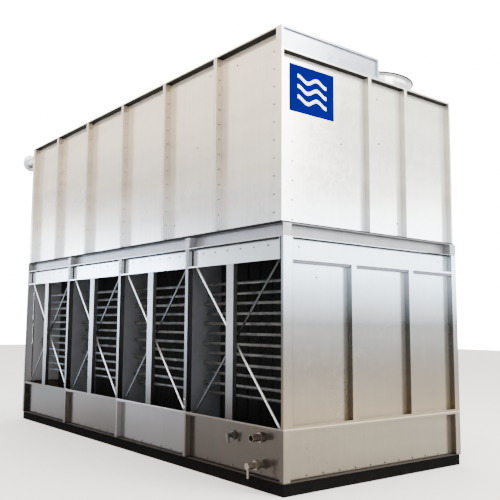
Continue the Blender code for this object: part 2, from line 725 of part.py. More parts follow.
def make_header():
    """The spray header's open pipe end, with a flange, through the raised cover's far end."""
    length = HEADER_REACH + HEADER_DEEP
    neck = length - FLANGE_THICKNESS
    bore = HEADER_RADIUS - HEADER_WALL
    profile = [(bore, 0), (HEADER_RADIUS, 0), (HEADER_RADIUS, neck), (FLANGE_RADIUS, neck),
               (FLANGE_RADIUS, length), (bore, length)]
    turned("spray_header_stub", profile, 32, "galvanised steel",
           (-UPPER_END + HEADER_DEEP, HEADER_Y, HEADER_Z), (0, -pi / 2, 0))


def make_basin_fittings():
    """Overflow, drain and make-up stubs on the near bay of the basin's front."""
    wall = FRONT + LOWER_RECESS - GAP
    tip = wall - DRAIN_REACH
    overflow_z = BASIN_TOP - OVERFLOW_DROP
    bore = OVERFLOW_RADIUS - STUB_WALL
    collar_radius = OVERFLOW_RADIUS + OVERFLOW_COLLAR
    profile = [(bore, 0), (collar_radius, 0), (collar_radius, OVERFLOW_COLLAR_LENGTH),
               (OVERFLOW_RADIUS, OVERFLOW_COLLAR_LENGTH), (OVERFLOW_RADIUS, OVERFLOW_REACH),
               (bore, OVERFLOW_REACH)]
    turned("overflow_stub", profile, 20, "galvanised steel", (STUB_X, wall, overflow_z), (pi / 2, 0, 0))

    drain_z = SKID_TOP + DRAIN_RISE

    def drain(bm):
        add_cylinder(bm, DRAIN_RADIUS, (STUB_X, wall, drain_z), (STUB_X, tip, drain_z), sides=20)

    def collar(bm):
        start = wall - DRAIN_COLLAR_SETBACK
        add_cylinder(bm, DRAIN_RADIUS + DRAIN_COLLAR, (STUB_X, start, drain_z),
                     (STUB_X, start - DRAIN_COLLAR_LENGTH, drain_z), sides=20)

    def spout(bm):
        y = tip + SPOUT_SETBACK
        add_cylinder(bm, SPOUT_RADIUS, (STUB_X, y, drain_z), (STUB_X, y, drain_z - SPOUT_DROP), sides=12)

    body = add_object("drain_stub", drain, "galvanised steel")
    boolean(body, "UNION", add_cutter("drain_collar", collar))
    boolean(body, "UNION", add_cutter("drain_spout", spout))

    fill_x = STUB_X - FILL_SPACING
    fill_z = BASIN_TOP - FILL_DROP

    def boss(bm):
        add_cylinder(bm, BOSS_RADIUS, (fill_x, wall, fill_z), (fill_x, wall - BOSS_DEPTH, fill_z), sides=20)

    def elbow(bm):
        add_cylinder(bm, FILL_RADIUS, (fill_x, wall - BOSS_DEPTH / 2, fill_z),
                     (fill_x, wall - ELBOW_REACH, fill_z), sides=16)

    def drop(bm):
        y = wall - ELBOW_REACH + ELBOW_PIPE_SETBACK
        add_cylinder(bm, ELBOW_PIPE_RADIUS, (fill_x, y, fill_z), (fill_x, y, fill_z - ELBOW_DROP), sides=12)

    body = add_object("make_up_stub", boss, "galvanised steel")
    boolean(body, "UNION", add_cutter("make_up_elbow", elbow))
    boolean(body, "UNION", add_cutter("make_up_drop", drop))


def main():
    for thing in list(bpy.data.objects):
        bpy.data.objects.remove(thing, do_unlink=True)
    for name in ("cooling_tower", "cutters"):
        collection = bpy.data.collections.new(name)
        bpy.context.scene.collection.children.link(collection)
    make_skid()
    make_basin()
    make_lower_frame()
    make_inlet_bays()
    make_lower_walls()
    make_ledge()
    make_partitions()
    make_coil()
    make_eliminator()
    make_upper_walls()
    make_roof()
    make_fans()
    make_motor_frame()
    make_header()
    make_basin_fittings()


main()
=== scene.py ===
"""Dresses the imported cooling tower: finishes for every solid, its bolts, seams, sign and fan guards.

Run as a script in Blender, it loads the frame, makes each group of pieces and sets up the stage.
"""

from math import cos, pi, radians, sin, tau

import bmesh
import bpy
from bpy.props import FloatProperty, FloatVectorProperty, PointerProperty
from mathutils import Matrix, Vector


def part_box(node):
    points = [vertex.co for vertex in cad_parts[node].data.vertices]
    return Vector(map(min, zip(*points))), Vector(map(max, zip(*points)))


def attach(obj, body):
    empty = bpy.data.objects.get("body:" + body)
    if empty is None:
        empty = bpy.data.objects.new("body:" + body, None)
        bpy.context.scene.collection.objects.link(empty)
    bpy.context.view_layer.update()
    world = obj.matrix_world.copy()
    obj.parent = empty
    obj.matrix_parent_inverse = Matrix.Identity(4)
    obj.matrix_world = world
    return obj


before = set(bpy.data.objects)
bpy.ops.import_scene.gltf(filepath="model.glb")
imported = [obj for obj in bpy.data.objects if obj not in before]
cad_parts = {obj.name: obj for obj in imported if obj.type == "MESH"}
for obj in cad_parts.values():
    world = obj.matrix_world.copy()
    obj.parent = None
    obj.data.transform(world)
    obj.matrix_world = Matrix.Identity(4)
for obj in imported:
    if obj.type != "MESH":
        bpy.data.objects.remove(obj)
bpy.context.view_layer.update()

bl_info = {
    "name": "Cooling tower dressing",
    "version": (1, 0, 0),
    "blender": (4, 5, 0),
    "location": "3D View > Sidebar > Cooling tower",
    "description": "Finishes, fasteners, seams, sign and stage for the packed cooling tower",
    "category": "Object",
}

# Outward directions of the tower's sides
FRONT = Vector((0, -1, 0))
REAR = Vector((0, 1, 0))
RIGHT = Vector((1, 0, 0))
LEFT = Vector((-1, 0, 0))
UP = Vector((0, 0, 1))


def linear(code):
    """The linear colour of an sRGB hex code."""
    channels = [int(code[start:start + 2], 16) / 255 for start in (1, 3, 5)]
    return tuple(c / 12.92 if c <= 0.04045 else ((c + 0.055) / 1.055) ** 2.4 for c in channels)


# Places that several pieces share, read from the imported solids
def node_boxes(prefix):
    """The boxes of the nodes whose names start with prefix, in order of name."""
    return [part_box(name) for name in sorted(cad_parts) if name.startswith(prefix)]


SHEET = 0.004
# A strip or plate reaches this far into the sheet that carries it
SUNK = 0.0002
CASING = node_boxes("upper_front_")
BACK_PANELS = 6
CASING_LOW, CASING_HIGH = CASING[0][0], CASING[-1][1]
COLUMNS = [(low.x + high.x) / 2 for low, high in node_boxes("inlet_column_")]
FASCIAS = node_boxes("inlet_fascia_")
CYLINDERS = node_boxes("fan_cylinder_")
BASIN_LOW, BASIN_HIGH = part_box("basin_front")
LOWER_LOW, LOWER_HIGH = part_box("lower_back")
LEDGE_LOW, LEDGE_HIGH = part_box("ledge_front")
COVER_LOW, COVER_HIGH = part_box("raised_cover")
DECK_LOW, DECK_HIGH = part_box("fan_deck")
HEADER_LOW, HEADER_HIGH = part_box("spray_header_stub")

# Faces that the pressed walls' fields lie in, counted from the tower's middle
FIELD_Y = -BASIN_HIGH.y + SHEET
LOWER_FIELD_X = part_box("basin_end_right")[0].x + SHEET
UPPER_FIELD_Y = -CASING_HIGH.y + SHEET
UPPER_FIELD_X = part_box("upper_end_right")[0].x + SHEET
FRONT_SEAMS = [high.x for low, high in CASING[:-1]]
BACK_SEAMS = [CASING_LOW.x + (CASING_HIGH.x - CASING_LOW.x) * number / BACK_PANELS
              for number in range(1, BACK_PANELS)]
CORNER_POST = 0.05
BAY_LINES = [BASIN_LOW.x + CORNER_POST, *COLUMNS, BASIN_HIGH.x - CORNER_POST]
BAYS = list(zip(BAY_LINES, BAY_LINES[1:]))
BAND = FASCIAS[0][0].z

# Names of the finishes that the dressing pieces share
BRIGHT = "Zinc-plated steel"
# Darker zinc for most bolts: partly weathering, partly painted shadow of their heads
WEATHER_AND_SHADE = "Zinc-plated steel, weathered"
RUBBER = "Moulded EPDM rubber"
SEALANT = "Polyurethane sealant"
# Slate grey strips under the lower ends' band, as painted shade
BAND_SHADE = "Polyurethane sealant, slate grey"
ROOF_SHEET = "Galvanised roof sheet"
CASTING = "Cast aluminium"
IRON = "Malleable iron fitting"


def length_property(name, description, default, least):
    """A length in metres for the panel."""
    return FloatProperty(name=name, description=description, default=default, min=least, unit="LENGTH")


def colour_property(name, description, code):
    """A colour for the panel, from its sRGB hex code."""
    return FloatVectorProperty(name=name, description=description, subtype="COLOR", size=3, min=0, max=1,
                               default=linear(code))


class TowerFasteners(bpy.types.PropertyGroup):
    across_flats: length_property("Across flats", "Width of a casing bolt's hexagon head", 0.013, 0.005)
    head_height: length_property(
        "Head height", "Height of a casing bolt's head above its washer", 0.0055, 0.002)
    washer_radius: length_property(
        "Washer radius", "Radius of the washer under a casing bolt", 0.0085, 0.003)
    washer_thickness: length_property(
        "Washer thickness", "Thickness of the washer under a casing bolt", 0.0016, 0.0005)
    casing_pitch: length_property("Casing pitch", "Spacing of the bolts up each casing joint", 0.1625, 0.05)
    corner_pitch: length_property(
        "Corner pitch", "Spacing of the bolts up the casing's corner angles", 0.178, 0.05)
    row_pitch: length_property(
        "Row pitch", "Spacing of the bolts along the fascia and the basin", 0.209, 0.05)


class TowerColours(bpy.types.PropertyGroup):
    # The colours by height of the casing's front, its ends and the lower casing are painted reflection of the
    # studio's walls
    front_low: colour_property("Front, low", "Galvanised casing front just above the ledge", "#D2D6DA")
    front_middle: colour_property("Front, middle", "Galvanised casing front at half its height", "#D4CCC2")
    front_high: colour_property("Front, high", "Galvanised casing front under the roof", "#F6E8D2")
    end_low: colour_property("End, low", "Galvanised casing end just above the ledge", "#F2F7FC")
    end_high: colour_property("End, high", "Galvanised casing end under the deck", "#ECE9E1")
    lower_foot: colour_property("Lower casing, foot", "Galvanised lower casing above the basin", "#716553")
    lower_middle: colour_property(
        "Lower casing, middle", "Galvanised lower casing at half its height", "#6A6A6A")
    lower_head: colour_property(
        "Lower casing, head", "Galvanised lower casing in the band under the ledge", "#C2CCD6")
    basin_front: colour_property("Basin front", "Galvanised basin, dulled by splashes", "#726B66")
    basin_end: colour_property("Basin end", "Galvanised basin end, dulled by splashes", "#6B6458")
    section_foot: colour_property(
        "Section, foot", "Galvanised columns and mullions above the basin", "#24211F")
    fascia: colour_property("Fascia", "Galvanised panels over the air inlet", "#AEB3B8")
    cover: colour_property("Cover", "Galvanised raised cover", "#BAC4D4")
    section: colour_property("Section", "Galvanised columns, posts and ledge", "#888B90")
    tube: colour_property("Coil tube", "Dull galvanised tube of the coil", "#454647")
    sign: colour_property("Sign", "Enamel ground of the sign plate", "#000350")
    floor: colour_property("Floor", "Pale floor under the tower", "#F4F4F3")


class TowerStage(bpy.types.PropertyGroup):
    camera_place: FloatVectorProperty(
        name="Camera place", description="Where the camera stands",
        subtype="TRANSLATION", size=3, unit="LENGTH", default=(7.633, -5.607, 1.510))
    camera_yaw: FloatProperty(
        name="Yaw", description="Turn of the view about the vertical, from +Y towards -X",
        subtype="ANGLE", default=radians(53.397))
    camera_pitch: FloatProperty(
        name="Pitch", description="Tilt of the view above the horizon",
        subtype="ANGLE", default=radians(6.319))
    camera_roll: FloatProperty(
        name="Roll", description="Turn of the view about its own line of sight",
        subtype="ANGLE", default=radians(0.701))
    camera_lens: FloatProperty(
        name="Lens", description="Focal length in millimetres on a 36 mm wide sensor",
        default=49.032, min=10)
    camera_shift: FloatProperty(
        name="Shift", description="Sideways shift of the frame, in frame widths",
        default=0.0823)
    ambient: FloatProperty(
        name="Ambient", description="Strength of the light from the studio's walls",
        default=2.0, min=0)
    backdrop: FloatProperty(
        name="Backdrop", description="Strength of the backdrop as the camera sees it",
        default=24.0, min=0)
    light_scale: FloatProperty(
        name="Light", description="Factor on all the studio lights",
        default=1.0, min=0)
    floor_size: length_property("Floor size", "Side of the square floor", 80.0, 10)


def add_node(tree, kind, settings=None, inputs=None, stops=()):
    """Add one node with its settings, and give each named or numbered input a value or a link."""
    node = tree.nodes.new(kind)
    for name, value in (settings or {}).items():
        setattr(node, name, value)
    for name, value in (inputs or {}).items():
        if isinstance(value, bpy.types.NodeSocket):
            tree.links.new(value, node.inputs[name])
        else:
            node.inputs[name].default_value = value
    if stops:
        ramp = node.color_ramp
        for place, value in stops[2:]:
            ramp.elements.new(place)
        for element, (place, value) in zip(ramp.elements, stops):
            element.position = place
            element.color = (*value, 1.0)
    return node


def new_material(name, colour, roughness, metallic=0.0):
    """A Principled material with the values that are the same all over it on its own sockets."""
    material = bpy.data.materials.new(name)
    material.use_nodes = True
    tree, shader = shader_of(material)
    shader.inputs["Base Color"].default_value = (*colour, 1.0)
    shader.inputs["Roughness"].default_value = roughness
    shader.inputs["Metallic"].default_value = metallic
    return material, tree, shader


def shader_of(material):
    """The node tree of a finished material and its Principled shader."""
    return material.node_tree, material.node_tree.nodes["Principled BSDF"]


def link_finish(tree, shader, colour, roughness=None):
    """Drive the shader's colour and, where one is given, its roughness."""
    tree.links.new(colour, shader.inputs["Base Color"])
    if roughness is not None:
        tree.links.new(roughness, shader.inputs["Roughness"])


def object_place(tree):
    return add_node(tree, "ShaderNodeTexCoord").outputs["Object"]


def axes(tree, vector):
    """The X, Y and Z of a vector as sockets."""
    return add_node(tree, "ShaderNodeSeparateXYZ", inputs={0: vector}).outputs


def place_axes(tree):
    return axes(tree, object_place(tree))


def normal_axes(tree):
    return axes(tree, add_node(tree, "ShaderNodeNewGeometry").outputs["True Normal"])


def noise(tree, scale, detail=2.0, stretch=(1, 1, 1)):
    """Noise on Object coordinates, which may have their own scale on each axis."""
    spot = add_node(tree, "ShaderNodeMapping", inputs={"Vector": object_place(tree), "Scale": stretch})
    return add_node(tree, "ShaderNodeTexNoise",
                    inputs={"Vector": spot.outputs[0], "Scale": scale, "Detail": detail}).outputs[0]


def mixed(tree, amount, under, over):
    """The colour over, laid on a colour or socket under it where amount is 1."""
    if not isinstance(under, bpy.types.NodeSocket):
        under = (*under, 1.0)
    return add_node(tree, "ShaderNodeMix", {"data_type": "RGBA"},
                    {0: amount, 6: under, 7: (*over, 1.0)}).outputs[2]


def tone(tree, source, low, high, start=0.3, end=0.7):
    """A grey factor from low to high as source goes from start to end."""
    return add_node(tree, "ShaderNodeMapRange", inputs={
        "Value": source, "From Min": start, "From Max": end, "To Min": low, "To Max": high}).outputs[0]


def maths(tree, operation, first, second=0.0):
    return add_node(tree, "ShaderNodeMath", {"operation": operation}, {0: first, 1: second}).outputs[0]


def times(tree, first, second):
    return maths(tree, "MULTIPLY", first, second)


def shade(tree, colour, factor):
    """The colour times a grey factor."""
    return add_node(tree, "ShaderNodeVectorMath", {"operation": "SCALE"},
                    {0: colour, "Scale": factor}).outputs[0]


def bump_on(tree, shader, height, distance, strength=1.0):
    bump = add_node(tree, "ShaderNodeBump", inputs={
        "Height": height, "Distance": distance, "Strength": strength})
    tree.links.new(bump.outputs[0], shader.inputs["Normal"])
    return bump


def painted_shade(tree, factor, side=None, side_tone=0.6):
    """Darken a factor on faces that look down and, for a pressed wall, on the sides of its ribs.

    This is painted shade, for the shadow under flanges and in the ribs' recesses. side is the axis along the
    wall, and a side_tone above 1 paints the ribs' sides lighter, as painted light.
    """
    split = normal_axes(tree)
    factor = times(tree, factor, tone(tree, split["Z"], 0.06, 1.0, -0.8, -0.3))
    if side:
        across = maths(tree, "ABSOLUTE", split[side])
        factor = times(tree, factor, tone(tree, across, 1.0, side_tone, 0.5, 0.9))
    return factor


def dull_film(tree, shader, amount, colour):
    """Lay a matt film of the given colour over a sheet's finish where amount is 1."""
    sockets = shader.inputs
    zinc = sockets["Base Color"].links[0].from_socket
    tree.links.new(mixed(tree, amount, zinc, colour), sockets["Base Color"])
    shine = sockets["Roughness"].links[0].from_socket
    blend = add_node(tree, "ShaderNodeMix", {"data_type": "FLOAT"}, {0: amount, 2: shine, 3: 0.8})
    tree.links.new(blend.outputs[0], sockets["Roughness"])
    metal = tone(tree, amount, sockets["Metallic"].default_value, 0.0, 0.0, 1.0)
    tree.links.new(metal, sockets["Metallic"])


def silted(material):
    """Dust and silt lie on the faces that look up."""
    tree, shader = shader_of(material)
    up = normal_axes(tree)["Z"]
    dull_film(tree, shader, tone(tree, up, 0.0, 1.0, 0.5, 0.9), linear("#2E2622"))
    return material


def toned_by_bay(material):
    """Each of the basin's four bays gets its own tone, which is painted reflection: darkest in the bay at the
    -X end, bluish in the bay just right of the middle.
    """
    tree, shader = shader_of(material)
    across = place_axes(tree)["X"]
    bay_reflections = ((0.0, (0.08, 0.077, 0.074)), (0.25, (0.26, 0.26, 0.26)), (0.5, (0.62, 0.68, 0.80)),
              (0.75, (0.26, 0.255, 0.25)))
    tones = add_node(tree, "ShaderNodeValToRGB", inputs={0: tone(tree, across, 0.0, 1.0, -3.0, 3.0)},
                     stops=bay_reflections)
    tones.color_ramp.interpolation = "CONSTANT"
    zinc = shader.inputs["Base Color"].links[0].from_socket
    blend = add_node(tree, "ShaderNodeVectorMath", {"operation": "MULTIPLY"}, {0: zinc, 1: tones.outputs[0]})
    link_finish(tree, shader, blend.outputs[0])
    shader.inputs["Specular IOR Level"].default_value = 0.2
    return material


def dull_inside(material):
    """The inner faces of the end walls are wet and grey, with no shine."""
    tree, shader = shader_of(material)
    # Negative where a wall's face looks towards the middle of the tower
    outward = times(tree, normal_axes(tree)["X"], place_axes(tree)["X"])
    dull_film(tree, shader, tone(tree, outward, 1.0, 0.0, -1.5, -0.5), linear("#6C6E74"))
    return material


def galvanised_sheet(name, stops, side=None, metallic=0.7, roughness=0.18, side_tone=0.6,
                     foot_side_tone=None):
    """Hot-dip galvanised sheet, 2 mm: a pale, semi-gloss zinc skin with faint crystals.

    The eye sees soft blurred reflections that bend with the sheet's slight waves, a warm or bluish
    cast that changes with height, which is painted reflection of the studio's walls, and a tone
    that differs a little from panel to panel. The stops are heights in metres with their colours.
    side_tone is the painted shade on the ribs' sides, and foot_side_tone, where it is given, is that
    painted shade near the foot.
    """
    material, tree, shader = new_material(name, stops[-1][1], roughness, metallic)
    place = object_place(tree)
    split = axes(tree, place)
    low, high = stops[0][0], stops[-1][0]
    height = tone(tree, split["Z"], 0.0, 1.0, low, high)
    shares = [((level - low) / (high - low), colour) for level, colour in stops]
    cast = add_node(tree, "ShaderNodeValToRGB", inputs={0: height}, stops=shares).outputs[0]
    # Panels are 1.0083 m wide along the front, with a seam 40 mm left of the middle
    count = add_node(tree, "ShaderNodeMapRange", {"clamp": False}, {
        "Value": split["X"], "From Min": -0.04, "From Max": 0.96833}).outputs[0]
    panel = add_node(tree, "ShaderNodeTexWhiteNoise", {"noise_dimensions": "1D"},
                     {"W": maths(tree, "FLOOR", count)}).outputs[0]
    factor = tone(tree, panel, 0.95, 1.03, 0.0, 1.0)
    # Soft level bands from coiling the sheet, about 250 mm apart and metres long
    bands = noise(tree, 1.0, 2.0, (0.35, 0.35, 4.0))
    factor = times(tree, factor, tone(tree, bands, 0.90, 1.04))
    # Rain streaks, about 60 mm apart and over a metre long
    streaks = noise(tree, 1.0, 3.0, (16, 16, 0.7))
    factor = times(tree, factor, tone(tree, streaks, 0.95, 1.02))
    # Zinc crystals are 15 to 25 mm across: drawn at 40 mm, because one pixel covers about 10 mm
    crystals = add_node(tree, "ShaderNodeTexVoronoi", inputs={"Vector": place, "Scale": 25.0})
    factor = times(tree, factor, tone(tree, crystals.outputs["Color"], 0.97, 1.02, 0.0, 1.0))
    if foot_side_tone:
        side_tone = tone(tree, split["Z"], foot_side_tone, side_tone, low + 0.2, low + 1.2)
    # Painted shade on faces that look down and on the ribs' sides
    link_finish(tree, shader, shade(tree, cast, painted_shade(tree, factor, side, side_tone)),
                tone(tree, crystals.outputs["Color"], roughness - 0.03, roughness + 0.04, 0.0, 1.0))
    # Slight waves of the flat sheet, about 0.7 m long and 2 mm high
    waves = noise(tree, 1.0, 1.0, (1.4, 1.4, 1.0))
    bump_on(tree, shader, waves, 0.005)
    return material


def galvanised_section(name, colour, metallic=0.4, roughness=0.42, side=None, side_tone=0.35):
    """Hot-dip galvanised rolled section: an even, satin zinc grey with thin runs."""
    material, tree, shader = new_material(name, colour, roughness, metallic)
    runs = noise(tree, 1.0, 3.0, (14, 14, 1.2))
    # Mottle of the zinc bath, about 90 mm across
    mottle = noise(tree, 11.0, 3.0)
    factor = times(tree, tone(tree, runs, 0.93, 1.03), tone(tree, mottle, 0.95, 1.03))
    # Painted shade on faces that look down
    link_finish(tree, shader, shade(tree, colour, painted_shade(tree, factor, side, side_tone)),
                tone(tree, mottle, roughness - 0.05, roughness + 0.07))
    fine = noise(tree, 60.0)
    bump_on(tree, shader, fine, 0.0006)
    return material


def flat_bars(name, colour):
    """Flat bar braces: of each crossed pair, the bar that rises towards +X is painted much darker, as painted
    shade.
    """
    material = galvanised_section(name, colour, 0.9, 0.45)
    tree, shader = shader_of(material)
    split = place_axes(tree)
    zinc = shader.inputs["Base Color"].links[0].from_socket
    # Bays are 1.5 m wide, so the bars slope one way where the two offsets have the same sign
    across = maths(tree, "FRACT", times(tree, split["X"], 1 / 1.5))
    low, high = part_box("inlet_brace_1")
    offset = tone(tree, across, -0.5, 0.5, 0.0, 1.0)
    rise = tone(tree, split["Z"], -0.5, 0.5, low.z, high.z)
    # Painted shade: the bars that rise towards +X drop to 4 % of the zinc's colour, the others keep 90 %
    dull = tone(tree, times(tree, offset, rise), 0.9, 0.04, -0.0005, 0.0005)
    link_finish(tree, shader, shade(tree, zinc, dull))
    return material


def dull_zinc_tube(name, colour):
    """Tube galvanised after bending: a dull grey with white rust spots and bright wet patches."""
    material, tree, shader = new_material(name, colour, 0.45, 0.7)
    patches = noise(tree, 7.0, 4.0)
    # Scale spots about 12 mm across
    spots = noise(tree, 80.0)
    factor = times(tree, tone(tree, patches, 0.55, 1.25, 0.35, 0.65),
                   tone(tree, spots, 0.85, 1.15))
    link_finish(tree, shader, shade(tree, colour, factor), tone(tree, patches, 0.62, 0.28, 0.35, 0.65))
    bump_on(tree, shader, spots, 0.0008)
    return material


def black_enamel(name):
    """Black alkyd enamel on steel beams: an even satin black with road dust low down."""
    material, tree, shader = new_material(name, linear("#0D0D0D"), 0.6)
    shader.inputs["Specular IOR Level"].default_value = 0.0
    split = place_axes(tree)
    dust = noise(tree, 9.0, 5.0)
    low = tone(tree, split["Z"], 0.5, 0.0, 0.0, 0.09)
    amount = times(tree, tone(tree, dust, 0.0, 1.0, 0.4, 0.7), low)
    blend = mixed(tree, amount, linear("#0D0D0D"), linear("#1A1512"))
    link_finish(tree, shader, blend, tone(tree, dust, 0.42, 0.7))
    # Orange peel of the sprayed coat, about 4 mm
    peel = noise(tree, 250.0)
    bump_on(tree, shader, peel, 0.0003)
    return material


def black_pvc(name):
    """Extruded PVC film: near black, half matt, with dried scale in pale specks."""
    material, tree, shader = new_material(name, linear("#030405"), 0.55)
    shader.inputs["Specular IOR Level"].default_value = 0.1
    # Specks of scale about 8 mm across
    specks = noise(tree, 120.0, 3.0)
    link_finish(tree, shader, shade(tree, linear("#030405"), tone(tree, specks, 0.7, 1.8, 0.4, 0.75)),
                tone(tree, specks, 0.45, 0.75))
    bump_on(tree, shader, specks, 0.0005)
    return material


def cast_aluminium(name):
    """Sand-cast aluminium, blasted: a bright even grey with a fine grain."""
    material, tree, shader = new_material(name, linear("#C3C6CA"), 0.4, 0.9)
    # Blast grain about 2 mm across
    grain = noise(tree, 450.0)
    soil = noise(tree, 6.0, 4.0)
    factor = times(tree, tone(tree, grain, 0.92, 1.06), tone(tree, soil, 0.78, 1.05))
    link_finish(tree, shader, shade(tree, linear("#C3C6CA"), factor), tone(tree, soil, 0.55, 0.35))
    bump_on(tree, shader, grain, 0.0004)
    return material


def motor_frame_finish(name, colour):
    """Galvanised rails that carry motors in blue-grey enamel: the two coats meet at each motor's foot."""
    material = galvanised_section(name, colour)
    tree, shader = shader_of(material)
    zinc = shader.inputs["Base Color"].links[0].from_socket
    split = place_axes(tree)
    rail_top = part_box("fan_motor_frame")[0].z + 0.06
    above = tone(tree, split["Z"], 0.0, 1.0, rail_top + 0.004, rail_top + 0.006)
    link_finish(tree, shader, mixed(tree, above, zinc, linear("#53606A")))
    tree.links.new(tone(tree, above, 0.55, 0.0, 0.0, 1.0), shader.inputs["Metallic"])
    return material


def zinc_plated_steel(name, colour="#A7A9A8"):
    """Zinc-plated bolt: bright grey, a little yellowed, darker where dirt holds to the threads."""
    material, tree, shader = new_material(name, linear(colour), 0.35, 0.85)
    # Each bolt head is 13 mm across, so its tone changes over about 30 mm
    tint = noise(tree, 33.0)
    link_finish(tree, shader, shade(tree, linear(colour), tone(tree, tint, 0.6, 1.1)),
                tone(tree, tint, 0.5, 0.28))
    return material


def black_rubber(name):
    """Moulded EPDM rubber: matt black that greys with dust."""
    material, tree, shader = new_material(name, linear("#0B0B0B"), 0.75)
    shader.inputs["Specular IOR Level"].default_value = 0.05
    bloom = noise(tree, 70.0, 3.0)
    link_finish(tree, shader, shade(tree, linear("#0B0B0B"), tone(tree, bloom, 0.7, 1.6)),
                tone(tree, bloom, 0.65, 0.85))
    return material


def seam_sealant(name, colour="#8D8B86"):
    """Gunned polyurethane sealant: a matt grey bead that has picked up dirt."""
    material, tree, shader = new_material(name, linear(colour), 0.7)
    dirt = noise(tree, 25.0, 3.0)
    link_finish(tree, shader, shade(tree, linear(colour), tone(tree, dirt, 0.75, 1.1)))
    bump_on(tree, shader, dirt, 0.001)
    return material


def sign_enamel(name, ground, centre):
    """Stove enamel on steel: a hard deep blue with three white waves."""
    material, tree, shader = new_material(name, ground, 0.3)
    shader.inputs["Specular IOR Level"].default_value = 0.0
    place = object_place(tree)
    centred = add_node(tree, "ShaderNodeMapping", {"vector_type": "POINT"}, {
        "Vector": place, "Location": (-centre.x, -centre.y, -centre.z)}).outputs[0]
    split = axes(tree, centred)
    across = split["Y"]
    up = split["Z"]
    # Waves 260 mm long and 26 mm high, in a field 0.4 m wide
    crest = times(tree, maths(tree, "SINE", times(tree, across, tau / 0.26)), 0.026)
    level = maths(tree, "SUBTRACT", up, crest)
    # Rows stand 105 mm apart, and each stroke fills a third of its row
    row = maths(tree, "FRACT", maths(tree, "ADD", times(tree, level, 1 / 0.105), 0.5))
    stroke = maths(tree, "LESS_THAN", maths(tree, "ABSOLUTE", maths(tree, "SUBTRACT", row, 0.5)), 0.17)
    field = times(tree, maths(tree, "LESS_THAN", maths(tree, "ABSOLUTE", across), 0.20),
                  maths(tree, "LESS_THAN", maths(tree, "ABSOLUTE", level), 0.15))
    white = times(tree, stroke, field)
    blend = mixed(tree, white, ground, linear("#E8ECF2"))
    # Weathering dulls the enamel in patches about 80 mm across
    dull = noise(tree, 12.0, 4.0)
    link_finish(tree, shader, shade(tree, blend, tone(tree, dull, 0.97, 1.02)),
                tone(tree, dull, 0.34, 0.18))
    return material


def floor_finish(name, colour):
    """Matt coated studio floor, almost white, with a faint unevenness."""
    material, tree, shader = new_material(name, colour, 0.8)
    cloud = noise(tree, 0.6)
    link_finish(tree, shader, shade(tree, colour, tone(tree, cloud, 0.985, 1.0)))
    return material


def add_object(name, bm, material):
    """Turn a finished bmesh into an object with one of the finishes."""
    mesh = bpy.data.meshes.new(name)
    bm.to_mesh(mesh)
    bm.free()
    mesh.materials.append(bpy.data.materials[material])
    piece = bpy.data.objects.new(name, mesh)
    bpy.context.scene.collection.objects.link(piece)
    return piece


def add_piece(name, bm, material):
    """Turn a finished bmesh into a named piece that rides on the tower."""
    piece = add_object(name, bm, material)
    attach(piece, "root")


def facing(place, direction):
    """The matrix that stands a piece made along +Z at a place, facing a direction."""
    turn = UP.rotation_difference(direction).to_matrix().to_4x4()
    return Matrix.Translation(place) @ turn


def bevel(bm, edges, width, segments=1):
    bmesh.ops.bevel(bm, geom=edges, offset=width, offset_type="OFFSET", affect="EDGES",
                    segments=segments, profile=0.5, material=-1)


def bolt(across_flats, head_height, washer_radius, washer_thickness):
    """A hexagon head with its top edge chamfered, on a round washer, both along +Z from the sheet."""
    bm = bmesh.new()
    sink = 0.0004
    bmesh.ops.create_cone(
        bm, cap_ends=True, segments=12, radius1=washer_radius, radius2=washer_radius,
        depth=washer_thickness + sink,
        matrix=Matrix.Translation((0, 0, (washer_thickness - sink) / 2)))
    corner = across_flats / 2 / cos(pi / 6)
    head = bmesh.ops.create_cone(
        bm, cap_ends=True, segments=6, radius1=corner, radius2=corner, depth=head_height,
        matrix=Matrix.Translation((0, 0, washer_thickness + head_height / 2)))["verts"]
    top = washer_thickness + head_height
    rim = [edge for edge in bm.edges if all(vert.co.z > top - 1e-5 and vert in head for vert in edge.verts)]
    bevel(bm, rim, head_height * 0.18)
    return bm


def add_copies(name, shape, places, material):
    """One piece with a copy of a finished bmesh at each (place, direction)."""
    template = bpy.data.meshes.new("template")
    shape.to_mesh(template)
    shape.free()
    bm = bmesh.new()
    for place, direction in places:
        copy = template.copy()
        copy.transform(facing(place, direction))
        bm.from_mesh(copy)
        bpy.data.meshes.remove(copy)
    bpy.data.meshes.remove(template)
    add_piece(name, bm, material)


def add_bolts(name, places, material=WEATHER_AND_SHADE, scale=1.0):
    """One piece of like bolts, true to the sizes in the panel times a scale."""
    sizes = bpy.context.scene.tower_fasteners
    shape = bolt(sizes.across_flats * scale, sizes.head_height * scale,
                 sizes.washer_radius * scale, sizes.washer_thickness * scale)
    add_copies(name, shape, places, material)


def steps(start, end, pitch):
    """Even places from start to end, about a pitch apart and with both ends kept."""
    count = max(1, round((end - start) / pitch))
    return [start + (end - start) * number / count for number in range(count + 1)]


def add_block(bm, low, high):
    low = Vector(low)
    high = Vector(high)
    size = Matrix.Diagonal((*(high - low), 1.0))
    bmesh.ops.create_cube(bm, size=1.0, matrix=Matrix.Translation((low + high) / 2) @ size)


def both_ends(inner, outer):
    """The places along X of a piece at the right end and of its mirror at the left."""
    return ((inner, outer), (-outer, -inner))


def spin_section(bm, section, centre, segments):
    """Spin a closed section of points in the XZ plane into a ring about +Z."""
    corners = [bm.verts.new(centre + Vector((across, 0, up))) for across, up in section]
    edges = [bm.edges.new((here, after)) for here, after in zip(corners, corners[1:] + corners[:1])]
    bmesh.ops.spin(bm, geom=corners + edges, cent=centre, axis=UP, dvec=(0, 0, 0),
                   angle=tau, steps=segments, use_merge=True, use_duplicate=False)


